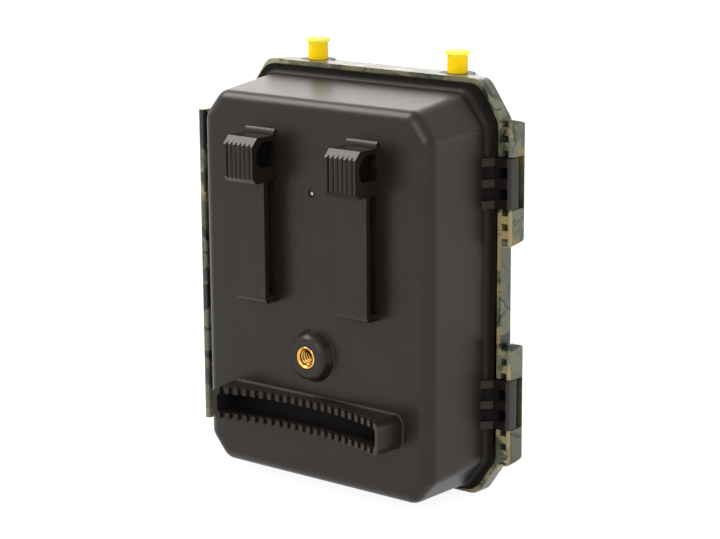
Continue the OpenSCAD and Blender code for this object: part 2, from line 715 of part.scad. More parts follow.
module lens_bezel() color([0.1, 0.1, 0.1]) {
    difference() {
        union() {
            rod_y(0, lens_z, bezel_d - 0.2, front_y - 1.6, front_y + recess);
            translate([0, front_y - 1.6, lens_z]) rotate([90, 0, 0])
                cylinder(h = 1.2, d1 = bezel_d - 0.2, d2 = bezel_d - 3);
        }
        translate([0, front_y - 0.8, lens_z]) rotate([90, 0, 0]) cylinder(h = 3, d1 = 18, d2 = 26);
        rod_y(0, lens_z, 18, front_y - 1, front_y + recess + 1);
    }
}
module lens_glass() color([0.5, 0.6, 0.75, 0.4]) {
    rod_y(0, lens_z, 17.9, front_y - 0.4, front_y + recess - 0.2);
}
module lens_barrel() color([0.15, 0.15, 0.16]) {
    difference() {
        union() {
            rod_y(0, lens_z, 15, front_y + 1.6, front_y + 5);
            rod_y(0, lens_z, 12, front_y + 5, holder_y - 4);
        }
        translate([0, front_y + 3, lens_z]) rotate([90, 0, 0]) cylinder(h = 2, d1 = 7, d2 = 12);
        rod_y(0, lens_z, 7, front_y + 2, holder_y);
    }
}

// Holder block over the image sensor, with a slot for the filter frame
holder_w = 18;
board_y = split_y - 8;
sensor_board_y = board_y - 2.6;
holder_y = sensor_board_y;
slot_y = holder_y - 2.4;
filter_t = 1;
filter_travel = 6;
module lens_holder() color([0.12, 0.12, 0.12]) {
    difference() {
        block(-holder_w / 2, holder_w / 2, front_y + 8, holder_y, lens_z - holder_w / 2, lens_z + holder_w / 2);
        rod_y(0, lens_z, 12, front_y + 7, holder_y - 4);
        rod_y(0, lens_z, 9, front_y + 7, holder_y + 1);
        block(-holder_w, holder_w, slot_y - filter_t - 0.1, slot_y + 0.1,
            lens_z - 5.1, lens_z + 5.1);
    }
}
module ir_filter() color([0.75, 0.35, 0.4]) {
    block(-8.2, 8.2 - filter_travel, slot_y - filter_t, slot_y, lens_z - 5, lens_z + 5);
}
module image_sensor() color([0.1, 0.3, 0.18]) {
    block(-13, 13, sensor_board_y, sensor_board_y + 1.2, lens_z - 12, lens_z + 12);
    block(-3.2, 3.2, sensor_board_y - 1.2, sensor_board_y + eps, lens_z - 2.9, lens_z + 2.9);
}
dome_r = 24;
dome_out = 3.4;
module pir_dome() color([0.86, 0.86, 0.84]) {
    difference() {
        union() {
            plate(0, pir_z, pir_w - 0.2, pir_w - 0.2, 3.9, front_y, front_y + recess);
            intersection() {
                rod_y(0, pir_z, pir_w - 2.6, front_y - 8, front_y + recess);
                translate([0, front_y - dome_out + dome_r, pir_z]) sphere(dome_r);
            }
        }
        intersection() {
            rod_y(0, pir_z, pir_w - 6, front_y - 8, front_y + recess + 1);
            translate([0, front_y - dome_out + dome_r, pir_z]) sphere(dome_r - 1);
        }
    }
}
module pir_sensor() color([0.75, 0.74, 0.7]) {
    block(-8, 8, front_y + 12, front_y + 13.2, pir_z - 8, pir_z + 8);
    rod_y(0, pir_z, 9.2, front_y + 8, front_y + 12 + eps);
    for (x = [-5, 5]) block(x - 1.2, x + 1.2, front_y + 13.2 - eps, board_y, pir_z - 6, pir_z + 6);
}
module status_window() color([0.6, 0.1, 0.1]) {
    for (x = [-sensor_x, sensor_x]) rod_y(x, lens_z, 5.3, front_y - 0.2, front_y + recess);
}

/* ---- Electronics and the panel behind the door ---- */

board_w = 76;
board_h = 122;
board_low = mid_z - 62;
panel_gap = 3.4;
screen_z = mid_z + 33.5;
key_d = 9;
pad = [16, mid_z - 5.2];
key_step = 10.2;
menu_at = [-24, mid_z - 2];
switch_at = [-24, mid_z - 18];
switch_travel = 8;
sd_at = [20, mid_z - 50];
sd_w = 24;
sd_t = 2.1;
sd_len = 32;
sim_at = [-18, mid_z - 43];
sim_w = 12.3;
sim_t = 0.8;
card_y = panel_y - panel_t - 1.75;
speaker_at = [-38, mid_z - 44];
speaker_d = 17;

module main_board() color([0.1, 0.32, 0.2]) {
    y = board_y;
    difference() {
        block(-board_w / 2, board_w / 2, y, y + 1.6, board_low, board_low + board_h);
        for (s = [-1, 1]) rod_y(s * (board_w / 2 - 4), board_low + board_h - 4, 3, y - 1, y + 3);
    }
    // Connector to the sensor board, processor, key domes and the port's carrier
    block(-9, 9, y - 1.4, y + eps, lens_z - 2, lens_z + 2);
    block(-30, -16, y - 1.4, y + eps, mid_z + 14, mid_z + 28);
    for (k = key_places()) rod_y(k[0], k[1], 5, y + 1.6 - eps, y + 3);
}
function key_places() = [menu_at, pad, pad + [0, key_step], pad - [0, key_step],
    pad + [key_step, 0], pad - [key_step, 0]];
module modem_module() color([0.7, 0.71, 0.72]) {
    block(6, 34, board_y - 2.4, board_y, mid_z + 8, mid_z + 36);
}
module screen() color([0.05, 0.06, 0.08]) {
    block(-28, 28, panel_y - panel_t - 3, panel_y - panel_t, screen_z - 22, screen_z + 22);
}
module inner_panel() color([0.2, 0.2, 0.21]) {
    edge = inset(rim, land_w + fit);
    difference() {
        slab(edge, 3, panel_y - panel_t, panel_y);
        plate(0, screen_z, 50, 38, 1.5, panel_y - panel_t - 1, panel_y + 1);
        for (k = key_places()) rod_y(k[0], k[1], key_d, panel_y - panel_t - 1, panel_y + 1);
        plate(switch_at[0], switch_at[1], switch_travel + 5.6, 4.2, 0.5, panel_y - panel_t - 1, panel_y + 1);
        plate(sd_at[0], sd_at[1] - 8.7, sd_w + 4, 17, 2, panel_y - panel_t - 1, panel_y + 1);
        plate(sim_at[0], sim_at[1] - 8.7, sim_w + 4, 17, 2, panel_y - panel_t - 1, panel_y + 1);
        for (i = [-2:2], j = [-2:2])
            if (norm([i, j]) < 2.5)
                rod_y(speaker_at[0] + 2.8 * i, speaker_at[1] + 2.8 * j, 1.4, panel_y - panel_t - 1, panel_y + 1);
        for (x = [-post_x, post_x], s = [-1, 1])
            rod_y(x, mid_z + s * post_z, screw_d + 0.5, panel_y - panel_t - 1, panel_y + 1);
    }
}
// A key: round cap with a retaining collar under the panel
module key(at) {
    rod_y(at[0], at[1], key_d - 0.5, panel_y - panel_t, panel_y + 0.6);
    rod_y(at[0], at[1], key_d + 1, panel_y - panel_t - 1, panel_y - panel_t - 0.1);
    rod_y(at[0], at[1], key_d - 0.5, panel_y - panel_t - 0.2, panel_y - panel_t + 0.1);
}
module menu_key() color([0.75, 0.75, 0.74]) key(key_places()[0]);
module ok_key() color([0.75, 0.75, 0.74]) key(key_places()[1]);
module up_key() color([0.75, 0.75, 0.74]) key(key_places()[2]);
module down_key() color([0.75, 0.75, 0.74]) key(key_places()[3]);
module right_key() color([0.75, 0.75, 0.74]) key(key_places()[4]);
module left_key() color([0.75, 0.75, 0.74]) key(key_places()[5]);
module mode_switch() color([0.8, 0.8, 0.79]) {
    x = switch_at[0] - switch_travel / 2;
    block(x - 2.5, x + 2.5, panel_y - panel_t - 0.6, panel_y + 0.5, switch_at[1] - 1.9, switch_at[1] + 1.9);
}
module switch_body() color([0.7, 0.7, 0.72]) {
    block(switch_at[0] - 9, switch_at[0] + 9, board_y + 1.6, panel_y - panel_t - 0.7,
        switch_at[1] - 3.4, switch_at[1] + 3.4);
}
module card_socket(at, w, t, len) {
    difference() {
        block(at[0] - w / 2 - 1.2, at[0] + w / 2 + 1.2, board_y + 1.6, panel_y - panel_t - 0.1,
            at[1], at[1] + len);
        block(at[0] - w / 2 - 0.15, at[0] + w / 2 + 0.15, card_y - t / 2 - 0.15, card_y + t / 2 + 0.15,
            at[1] - 1, at[1] + len - 1.2);
    }
}
module sd_socket() color([0.72, 0.73, 0.74]) card_socket(sd_at, sd_w, sd_t, 29);
module sd_card() color([0.12, 0.16, 0.3]) {
    x = sd_at[0];
    z = sd_at[1] - 4.6;
    translate([0, card_y - sd_t / 2, 0]) rotate([90, 0, 0]) mirror([0, 0, 1]) linear_extrude(sd_t)
        polygon([[x - sd_w / 2, z], [x + sd_w / 2, z], [x + sd_w / 2, z + sd_len - 4],
            [x + sd_w / 2 - 4, z + sd_len], [x - sd_w / 2, z + sd_len]]);
}
module sim_socket() color([0.72, 0.73, 0.74]) card_socket(sim_at, sim_w, sim_t, 15);
module sim_card() color([0.85, 0.85, 0.83]) {
    block(sim_at[0] - sim_w / 2, sim_at[0] + sim_w / 2, card_y - sim_t / 2, card_y + sim_t / 2,
        sim_at[1] - 2, sim_at[1] + 13);
}
module speaker() color([0.15, 0.15, 0.15]) {
    rod_y(speaker_at[0], speaker_at[1], speaker_d, board_y + 2, panel_y - panel_t);
}
module microphone() color([0.7, 0.7, 0.7]) {
    rod_y(-30, mid_z - 50, 6, board_y - 2.2, board_y);
}

/* ---- Antennas, port and fasteners ---- */

module antenna_jack(side) {
    difference() {
        union() {
            rod_z(side * jack_x, 0, jack_body_d, boss_top - 10, boss_top + washer_t);
            rod_z(side * jack_x, 0, jack_d, boss_top, boss_top + washer_t + jack_out);
            rod_z(side * jack_x, 0, 3.4, boss_top - 14, boss_top - 10 + eps);
        }
        rod_z(side * jack_x, 0, jack_d - 1.6, boss_top + washer_t + jack_out - 4, boss_top + washer_t + jack_out + 1);
    }
    rod_z(side * jack_x, 0, 1.2, boss_top + washer_t + jack_out - 5, boss_top + washer_t + jack_out - 1);
}
module antenna_jack_left() color([0.83, 0.66, 0.3]) antenna_jack(1);
module antenna_jack_right() color([0.83, 0.66, 0.3]) antenna_jack(-1);
module jack_washers() color([0.1, 0.1, 0.1]) {
    for (s = [-1, 1]) difference() {
        rod_z(s * jack_x, 0, washer_d, boss_top, boss_top + washer_t);
        rod_z(s * jack_x, 0, jack_body_d, boss_top - 1, boss_top + 2);
    }
}
nut_h = 2;
function nut_top() = rim_h - max(land_w, skin + 1.96) - 0.4;
module jack_nuts() color([0.8, 0.64, 0.3]) {
    for (s = [-1, 1]) difference() {
        translate([s * jack_x, 0, nut_top() - nut_h]) cylinder(h = nut_h, d = jack_d + 3, $fn = 6);
        rod_z(s * jack_x, 0, jack_body_d, nut_top() - nut_h - 1, nut_top() + 1);
    }
}
cap_play = 0.06;
module dust_cap(side) {
    z = boss_top + washer_t;
    bore = jack_d + 2 * cap_play;
    difference() {
        union() {
            rod_z(side * jack_x, 0, bore + 2 * cap_wall, z, z + cap_h - 1);
            rod_z(side * jack_x, 0, bore + 2 * cap_wall + 1.4, z + cap_h - 1.3, z + cap_h);
        }
        rod_z(side * jack_x, 0, bore, z - 1, z + jack_out + 0.2);
    }
}
module dust_cap_left() color([0.98, 0.72, 0.05]) dust_cap(1);
module dust_cap_right() color([0.98, 0.72, 0.05]) dust_cap(-1);

port_low = land_w + 0.2;
module port_block() color([0.2, 0.2, 0.21]) translate([port_x, 0, 0]) {
    x1 = port_w / 2 - 1;
    difference() {
        block(-x1, x1, port_y0 + 0.2, port_y1 - 0.2, port_low, board_low);
        block(-10, -1, port_y0 + 2.2, port_y1 - 2.2, port_low - 1, port_low + 6);
        rod_z(6, (port_y0 + port_y1) / 2, 5.5, port_low - 1, port_low + 6);
    }
    rod_z(6, (port_y0 + port_y1) / 2, 1.6, port_low + 0.5, port_low + 6 + eps);
    block(-x1, x1, board_y - 2, board_y, board_low - eps, board_low + 6);
}
module port_plug() color([0.14, 0.14, 0.14]) translate([port_x, 0, 0]) {
    block(-port_w / 2 - plug_rim + 0.3, port_w / 2 + plug_rim - 0.3, port_y0 - plug_rim + 0.3,
        port_y1 + plug_rim - 0.3, 0.1, plug_t - 0.05);
    difference() {
        block(-port_w / 2 + 1.6, port_w / 2 - 0.5, port_y0 + 0.4, port_y1 - 0.4,
            plug_t - 0.1, plug_t + 2.6);
        block(-port_w / 2 + 3, port_w / 2 - 2, port_y0 + 1.8, port_y1 - 1.8,
            plug_t + 0.6, plug_t + 4);
    }
}

hook_gap = 0.3;
module latch_profile() {
    x0 = latch_x - latch_t;
    rear = split_y + latch_reach;
    translate([latch_pin_x, latch_pin_y]) circle(x0 - latch_pin_x);
    polygon([[latch_pin_x, latch_pin_y - 3], [x0 + eps, latch_pin_y - 3],
        [x0 + eps, latch_pin_y + 4], [latch_pin_x + 1.5, latch_pin_y + 2.6]]);
    polygon(concat(
        [[x0, latch_pin_y - 3]], [[latch_x - 1.5, latch_pin_y - 3], [latch_x, latch_pin_y - 1.5]],
        corner_arc([latch_x, 0], [latch_x, rear], [x0, rear], 1, 4),
        corner_arc([latch_x, rear], [x0, rear], [x0, 0], 1, 4)));
    // Hook arm beside the flange
    polygon([[x0 + eps, split_y + 0.4], [flange_x + hook_gap, split_y + 0.4],
        [flange_x + hook_gap, split_y + 1.6], [flange_x + hook_gap + 1, split_y + 3],
        [x0 + eps, split_y + 4.6]]);
}
module latch_plate() color([0.36, 0.37, 0.25]) {
    z0 = mid_z - latch_len / 2 - 2.7;
    difference() {
        union() {
            along_z(z0, z0 + latch_len) latch_profile();
            for (i = [0:8])
                along_z(z0 + 12 + i * 12 - 0.8, z0 + 12 + i * 12 + 0.8)
                    polygon([[latch_x - latch_t + eps, split_y + 4], [latch_x - latch_t - 2.4, split_y + 4],
                        [latch_x - latch_t + eps, split_y + 13]]);
        }
        for (i = [-1:1]) {
            z = mid_z + i * lug_step;
            block(latch_pin_x - 6, latch_x + 1, latch_pin_y - 8, latch_pin_y,
                z - lug_len / 2 - 0.3, z + lug_len / 2 + 0.3);
            block(latch_pin_x - 6, latch_x - latch_t, latch_pin_y - 8, latch_pin_y + 4.6,
                z - lug_len / 2 - 0.3, z + lug_len / 2 + 0.3);
        }
        rod_z(latch_pin_x, latch_pin_y, latch_pin_d + 2 * pin_play, z0 - 1, z0 + latch_len + 1);
        // Arm passes outside the rim
        block(flange_x - 4, rim_x + 0.4, split_y - 20, split_y + 0.35, z0 - 1, z0 + latch_len + 1);
    }
}
module latch_pin() color([0.72, 0.73, 0.75]) {
    rod_z(latch_pin_x, latch_pin_y, latch_pin_d, mid_z - lug_step - lug_len, mid_z + lug_step + lug_len);
}
module hinge_pins() color([0.72, 0.73, 0.75]) {
    for (z = hinge_zs)
        rod_z(-hinge_x, hinge_y, pin_d, z - lump_len / 2 + 2, z + lump_len / 2 - 1);
}
module panel_screws() color([0.72, 0.73, 0.75]) {
    for (x = [-post_x, post_x], s = [-1, 1]) {
        rod_y(x, mid_z + s * post_z, screw_d, panel_y - panel_t - 6, panel_y);
        rod_y(x, mid_z + s * post_z, 5, panel_y, panel_y + 0.9);
    }
}

/* ---- Drawing ---- */

back_cover();
strap_loop_left();
strap_loop_right();
tree_bracket();
tripod_insert();
cover_gasket();
battery_tray();
battery_cells();
battery_springs();
battery_contacts();
battery_lid();
tray_screws();
front_shell();
face_plate();
led_window();
led_board();
ir_leds();
lens_bezel();
lens_glass();
lens_barrel();
lens_holder();
ir_filter();
image_sensor();
pir_dome();
pir_sensor();
status_window();
main_board();
modem_module();
screen();
inner_panel();
menu_key();
ok_key();
up_key();
down_key();
left_key();
right_key();
mode_switch();
switch_body();
sd_socket();
sd_card();
sim_socket();
sim_card();
speaker();
microphone();
antenna_jack_left();
antenna_jack_right();
jack_washers();
jack_nuts();
dust_cap_left();
dust_cap_right();
port_block();
port_plug();
latch_plate();
latch_pin();
hinge_pins();
panel_screws();
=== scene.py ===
import json
import math

import bmesh
import bpy
from mathutils import Matrix, Vector

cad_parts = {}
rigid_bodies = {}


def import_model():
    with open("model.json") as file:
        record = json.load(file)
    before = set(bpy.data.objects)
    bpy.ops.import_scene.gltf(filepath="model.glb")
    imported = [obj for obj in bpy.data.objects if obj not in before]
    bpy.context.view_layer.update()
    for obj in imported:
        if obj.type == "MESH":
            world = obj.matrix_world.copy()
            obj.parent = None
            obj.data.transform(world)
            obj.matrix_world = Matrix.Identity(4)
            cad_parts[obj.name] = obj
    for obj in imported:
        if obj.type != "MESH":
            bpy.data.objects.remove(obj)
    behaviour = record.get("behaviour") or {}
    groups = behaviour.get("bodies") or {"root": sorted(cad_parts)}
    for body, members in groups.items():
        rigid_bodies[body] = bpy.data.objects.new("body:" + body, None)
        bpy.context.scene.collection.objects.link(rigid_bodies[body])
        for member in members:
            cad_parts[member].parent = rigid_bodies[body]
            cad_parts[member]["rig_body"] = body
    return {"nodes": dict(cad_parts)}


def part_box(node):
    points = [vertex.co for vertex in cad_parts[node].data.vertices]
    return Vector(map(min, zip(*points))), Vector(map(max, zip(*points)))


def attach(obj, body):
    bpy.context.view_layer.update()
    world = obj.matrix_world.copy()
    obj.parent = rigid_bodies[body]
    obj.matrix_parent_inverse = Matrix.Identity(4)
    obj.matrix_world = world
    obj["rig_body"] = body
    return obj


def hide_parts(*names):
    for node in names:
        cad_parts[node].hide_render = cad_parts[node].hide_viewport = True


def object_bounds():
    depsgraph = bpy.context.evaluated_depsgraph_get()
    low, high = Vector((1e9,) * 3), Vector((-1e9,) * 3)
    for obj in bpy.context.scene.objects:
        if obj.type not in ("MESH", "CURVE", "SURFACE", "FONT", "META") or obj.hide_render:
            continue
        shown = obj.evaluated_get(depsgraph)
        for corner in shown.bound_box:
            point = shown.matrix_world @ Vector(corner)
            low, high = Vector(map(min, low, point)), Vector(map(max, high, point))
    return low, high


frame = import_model()
cad_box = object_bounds()
MM = 0.001

# ------------------------------------------------
# Studio. A pale sweep, four soft lamps and a white surround, so that dark
# textured plastic shows its edges and its satin top face.
scene = bpy.context.scene
scene.view_settings.view_transform = "Standard"


def placed(name, data):
    """An object made from its data and linked to the scene."""
    piece = bpy.data.objects.new(name, data)
    scene.collection.objects.link(piece)
    return piece


eye = Vector((-0.49367, 0.62609, 0.25786))
eye_axes = Matrix((
    (-0.77827, 0.13537, -0.61316),
    (-0.62789, -0.17761, 0.75776),
    (-0.00632, 0.97475, 0.22323)))
camera_data = bpy.data.cameras.new("studio_camera")
camera_data.sensor_width = 36.0
camera_data.lens = 109.755
camera_data.clip_end = 200
camera = placed("studio_camera", camera_data)
camera.matrix_world = Matrix.Translation(eye) @ eye_axes.to_4x4()
scene.camera = camera


def lamp(name, place, aim, size, watts, color=(1, 1, 1)):
    """A square soft lamp that faces a point of the object."""
    light = bpy.data.lights.new(name, "AREA")
    light.shape = "SQUARE"
    light.size = size
    light.energy = watts
    light.color = color
    piece = placed(name, light)
    piece.location = place
    piece.rotation_euler = (Vector(aim) - Vector(place)).to_track_quat("-Z", "Y").to_euler()


lamp("top_softbox", (0.62, 0.24, 0.92), (0, 0.02, 0.08), 0.5, 6.5)
lamp("hinge_side_softbox", (-1.1, -0.65, 0.22), (0, 0.02, 0.08), 0.6, 1.3)
lamp("lens_side_softbox", (0.72, -0.92, 0.62), (0, 0, 0.08), 0.8, 4.2, (1.0, 0.94, 0.90))
lamp("tripod_side_softbox", (-0.35, 1.15, 0.75), (0, 0, 0.08), 0.8, 6.0)


def feed(socket, value):
    """Links an input to an output, or sets its plain value."""
    if isinstance(value, bpy.types.NodeSocket):
        socket.id_data.links.new(value, socket)
    else:
        socket.default_value = (*value, 1) if socket.type == "RGBA" else value


def add(made, kind, inputs=(), **values):
    """A node in the tree that a material, node or socket has, its inputs fed by name or number."""
    tree = getattr(made, "node_tree", None) or made.id_data
    fresh = tree.nodes.new(kind if "Node" in kind else "ShaderNode" + kind)
    for key, value in values.items():
        if hasattr(fresh, key):
            setattr(fresh, key, value)
        else:
            feed(fresh.inputs[key.replace("_", " ")], value)
    for socket, value in dict(inputs).items():
        feed(fresh.inputs[socket], value)
    return fresh


def calc(kind, *values):
    """One kind of sum over sockets and numbers, carried on from the first to the last."""
    made = next(value for value in values if isinstance(value, bpy.types.NodeSocket))
    total = values[0]
    if len(values) == 1:
        total = add(made, "Math", {0: total}, operation=kind).outputs[0]
    for value in values[1:]:
        total = add(made, "Math", {0: total, 1: value}, operation=kind).outputs[0]
    return total


def looked_at(made):
    """One for the rays that show a surface, nought for those that light the object."""
    ray = add(made, "LightPath")
    return calc("MAXIMUM", *(ray.outputs[f"Is {kind} Ray"] for kind in ("Camera", "Transmission", "Glossy")))


world = bpy.data.worlds.new("surround")
world.use_nodes = True
world.node_tree.nodes.clear()
scene.world = world
glow = add(world, "Background", Color=(1, 1, 1), Strength=0.9)
paper = add(world, "Background", Color=(1, 1, 1), Strength=1.0)
choose = add(world, "MixShader", {0: looked_at(world), 1: glow.outputs[0], 2: paper.outputs[0]})
add(world, "OutputWorld", {0: choose.outputs[0]})


def material(name, color, roughness, **settings):
    """A Principled material with its plain numbers on the shader's own sockets."""
    made = bpy.data.materials.new(name)
    made.use_nodes = True
    made.diffuse_color = (*color, 1)
    shader = made.node_tree.nodes["Principled BSDF"]
    settings.update({"Base Color": color, "Roughness": roughness})
    for socket, value in settings.items():
        feed(shader.inputs[socket.replace("_", " ")], value)
    return made


FLOOR_HALF = 60
FLOOR_GAP = 0.2 * MM
PAPER_SHARE = 0.8
floor_paint = material("floor_paint", (0.9, 0.9, 0.9), 0.95)
floor_mesh = bpy.data.meshes.new("floor")
floor_corners = [(x * FLOOR_HALF, y * FLOOR_HALF, 0) for x, y in ((-1, -1), (1, -1), (1, 1), (-1, 1))]
floor_mesh.from_pydata(floor_corners, [], [(0, 1, 2, 3)])
floor_mesh.materials.append(floor_paint)
floor = placed("floor", floor_mesh)
floor.location.z = cad_box[0][2] - FLOOR_GAP
share = calc("MULTIPLY", looked_at(floor_paint), PAPER_SHARE)
floor_paper = add(floor_paint, "Emission", Color=(1, 1, 1), Strength=1.15)
floor_nodes = floor_paint.node_tree.nodes
lift = add(floor_paint, "MixShader", {0: share, 1: floor_nodes["Principled BSDF"].outputs[0],
                                      2: floor_paper.outputs[0]})
feed(floor_nodes["Material Output"].inputs[0], lift.outputs[0])

# ------------------------------------------------
# Back cover. One black-brown ABS moulding with a fine spark-eroded grain, a
# rounded back face, the tripod boss and two hinge leaves with their gussets.
def spot_of(made):
    """The point of the surface, in the part's own metres."""
    return add(made, "TexCoord").outputs["Object"]


def noise(made, scale, detail=2.0, **more):
    """Soft cloudy noise over the part."""
    return add(made, "TexNoise", {"Vector": spot_of(made)}, Scale=scale, Detail=detail, **more).outputs["Fac"]


def wire(source, socket):
    """Feeds the material's own shader."""
    feed(source.id_data.nodes["Principled BSDF"].inputs[socket], source)


def stepped(source, low, high, to_low=0.0, to_high=1.0):
    """A value mapped from one range to another and held at its ends."""
    return add(source, "MapRange", {"Value": source}, From_Min=low, From_Max=high,
               To_Min=to_low, To_Max=to_high).outputs[0]


def ramp(source, *stops, mode="LINEAR"):
    """A colour ramp from (place, colour) stops."""
    band = add(source, "ValToRGB", {"Fac": source})
    band.color_ramp.interpolation = mode
    elements = band.color_ramp.elements
    while len(elements) < len(stops):
        elements.new(0.5)
    for element, (place, color) in zip(elements, stops):
        element.position = place
        element.color = (*color, 1)
    return band.outputs[0]


def mixed(amount, under, over):
    """One colour laid over another by a mask."""
    return add(amount, "Mix", {0: amount, 6: under, 7: over}, data_type="RGBA").outputs[2]


def embossed(pattern, height, strength):
    """Raises the surface by a pattern, by a height in mm."""
    bump = add(pattern, "Bump", {"Height": pattern}, Strength=strength, Distance=height * MM)
    wire(bump.outputs[0], "Normal")


def grain(made, size, height, strength=0.5):
    """Fine raised grain of a size and height in mm, as a spark-eroded mould leaves it."""
    texture = noise(made, 1 / (size * MM))
    embossed(texture, height, strength)
    return texture


def dusted(tint, apart, size, share, color):
    """A tint with scattered specks of settled dust on it."""
    cells = add(tint, "TexVoronoi", {"Vector": spot_of(tint)}, Scale=1 / (apart * MM))
    pick = add(tint, "SeparateColor", {0: cells.outputs["Color"]}).outputs[0]
    near = stepped(cells.outputs["Distance"], size, size * 0.5)
    return mixed(calc("MULTIPLY", near, stepped(pick, 1 - share, 1 - share + 0.02)), tint, color)


cover_plastic = material("cover_plastic", (0.011, 0.009, 0.0078), 0.36, IOR=1.4,
                         Specular_Tint=(1.0, 0.895, 0.83))
cover_tint = ramp(noise(cover_plastic, 45.0, 5.0),
                  (0.3, (0.0092, 0.0074, 0.0062)), (0.7, (0.0118, 0.0096, 0.0083)))
wire(dusted(cover_tint, 6, 0.035, 0.35, (0.16, 0.15, 0.14)), "Base Color")
wire(stepped(grain(cover_plastic, 0.5, 0.08, 0.55), 0.2, 0.8, 0.26, 0.4), "Roughness")


def settle(piece):
    """Turns what the modifiers give into the piece's own plain mesh."""
    graph = bpy.context.evaluated_depsgraph_get()
    result = bpy.data.meshes.new_from_object(piece.evaluated_get(graph))
    piece.modifiers.clear()
    piece.data = result
    piece.data.name = piece.name
    return piece


def fitted(piece, node):
    """Puts a finished piece in place of the plain part it stands for."""
    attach(piece, frame["nodes"][node]["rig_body"])
    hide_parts(node)
    return piece


def shaded(mesh, smooth):
    """Smooth rounds, with sharp lines where faces meet at more than an angle."""
    mesh.shade_smooth()
    mesh.set_sharp_from_angle(angle=math.radians(smooth))


def eased(piece, edge, smooth=30, only=35):
    """Moulded edge radii in mm, smooth rounds and flat faces that stay flat."""
    if edge:
        bevel = piece.modifiers.new("edges", "BEVEL")
        bevel.width = edge * MM
        bevel.segments = 2
        bevel.limit_method = "ANGLE"
        bevel.angle_limit = math.radians(only)
        bevel.use_clamp_overlap = True
        settle(piece)
    shaded(piece.data, smooth)
    flat = piece.modifiers.new("flat_faces", "WEIGHTED_NORMAL")
    flat.keep_sharp = True
    return settle(piece)


def dressed(node, paint, edge, smooth=30, only=35):
    """A merged copy of a rigid part with its own finish, in place of the plain one."""
    mesh = frame["nodes"][node].data.copy()
    shape = bmesh.new()
    shape.from_mesh(mesh)
    bmesh.ops.remove_doubles(shape, verts=shape.verts, dist=2e-6)
    bmesh.ops.dissolve_limit(shape, angle_limit=math.radians(0.5), verts=shape.verts, edges=shape.edges)
    shape.to_mesh(mesh)
    shape.free()
    mesh.materials.clear()
    mesh.materials.append(paint)
    return fitted(eased(placed(node + "_skin", mesh), edge, smooth, only), node)


# The floor of the tree bracket becomes faces of its own, so that it can take painted shade.
BRACKET_WALL = 2.4 * MM
cover_skin = dressed("back_cover", cover_plastic, 0.22, smooth=26)
bracket_low, bracket_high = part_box("tree_bracket")
parted = bmesh.new()
parted.from_mesh(cover_skin.data)
for normal in ((1, 0, 0), (-1, 0, 0), (0, 0, 1), (0, 0, -1)):
    side = bracket_high if sum(normal) > 0 else bracket_low
    back = [f for f in parted.faces if f.normal.y > 0.99 and f.calc_center_median().y > 42 * MM
            and f.calc_area() > 20 * MM * MM]
    touched = back + [e for f in back for e in f.edges] + [v for f in back for v in f.verts]
    bmesh.ops.bisect_plane(parted, geom=list(dict.fromkeys(touched)), dist=1e-6,
                           plane_co=side - Vector(normal) * BRACKET_WALL, plane_no=normal)
parted.to_mesh(cover_skin.data)
parted.free()
eased(cover_skin, 0, 26)

# Towards the joint the cover gets painted shade in steps, each below a depth in mm: darker and more matt, for
# the shade in the deep seam.
JOINT_DEPTHS = (13.95, 13.2, 12.6, 11.9)
for roughness, index in ((0.38, 1.37), (0.46, 1.33), (0.58, 1.27), (0.72, 1.21)):
    flange_matt = material("flange_matt", (0.005, 0.0042, 0.0036), roughness, IOR=index,
                           Specular_Tint=(1.0, 0.9, 0.83))
    grain(flange_matt, 0.6, 0.05, 0.3)
    cover_skin.data.materials.append(flange_matt)
# The gate mark's dimple is painted pale: a painted glint for the shine of its ring.
gate_scar = material("gate_scar", (0.45, 0.38, 0.27), 0.4)
grain(gate_scar, 0.2, 0.02, 0.3)
cover_skin.data.materials.append(gate_scar)
DEEPEST_PAINTED_SHADE, GATE_GLINT = 4, 5
LEAF_HEIGHTS = (35.8 * MM, 116.0 * MM)
LEAF_HALF = 8.6 * MM
FLANGE_HALF = 59 * MM
GATE = Vector((0, 42.6, 110.6)) * MM
GATE_R = 0.6 * MM
floor_low = bracket_low + Vector((2, 0, 2)) * MM
floor_high = bracket_high - Vector((2, 0, 2)) * MM
for face in cover_skin.data.polygons:
    spot = face.center
    corners = [cover_skin.data.vertices[k].co for k in face.vertices]
    tall = max(c.z for c in corners) - min(c.z for c in corners)
    by_hinge = spot.x < -44 * MM and spot.y < 24 * MM
    at_leaf = by_hinge and any(abs(spot.z - z) < LEAF_HALF for z in LEAF_HEIGHTS)
    in_pocket = at_leaf and (4 * MM < tall < 7 * MM or abs(face.normal.z) > 0.9)
    in_bracket = face.normal.y > 0.99 and all(
        floor_low.x < c.x < floor_high.x and floor_low.z < c.z < floor_high.z for c in corners)
    on_gate = face.normal.y > 0.9 and spot.y > GATE.y and all(
        math.hypot(c.x, c.z - GATE.z) < GATE_R for c in corners)
    if on_gate:
        face.material_index = GATE_GLINT
    # Painted shade: the hinge pockets and the bracket floor take the darkest matt finish.
    elif in_pocket or in_bracket:
        face.material_index = DEEPEST_PAINTED_SHADE
    elif abs(spot.x) < FLANGE_HALF:
        face.material_index = sum(spot.y < depth * MM for depth in JOINT_DEPTHS)

# ------------------------------------------------
# Strap loops and tree bracket. Same ABS, moulded in one with the cover; the
# grip blocks are grooved and the bracket's walls are toothed to bite bark.
GRIP_TOP_CHAMFER = 2.8 * MM
TOP_STEP = 2.1 * MM
GROOVES_FROM, GROOVES_TO = 11.5 * MM, 1.5 * MM
GRIP_FACE = 1.5 * MM
GRIP_CHEEK = 0.5 * MM


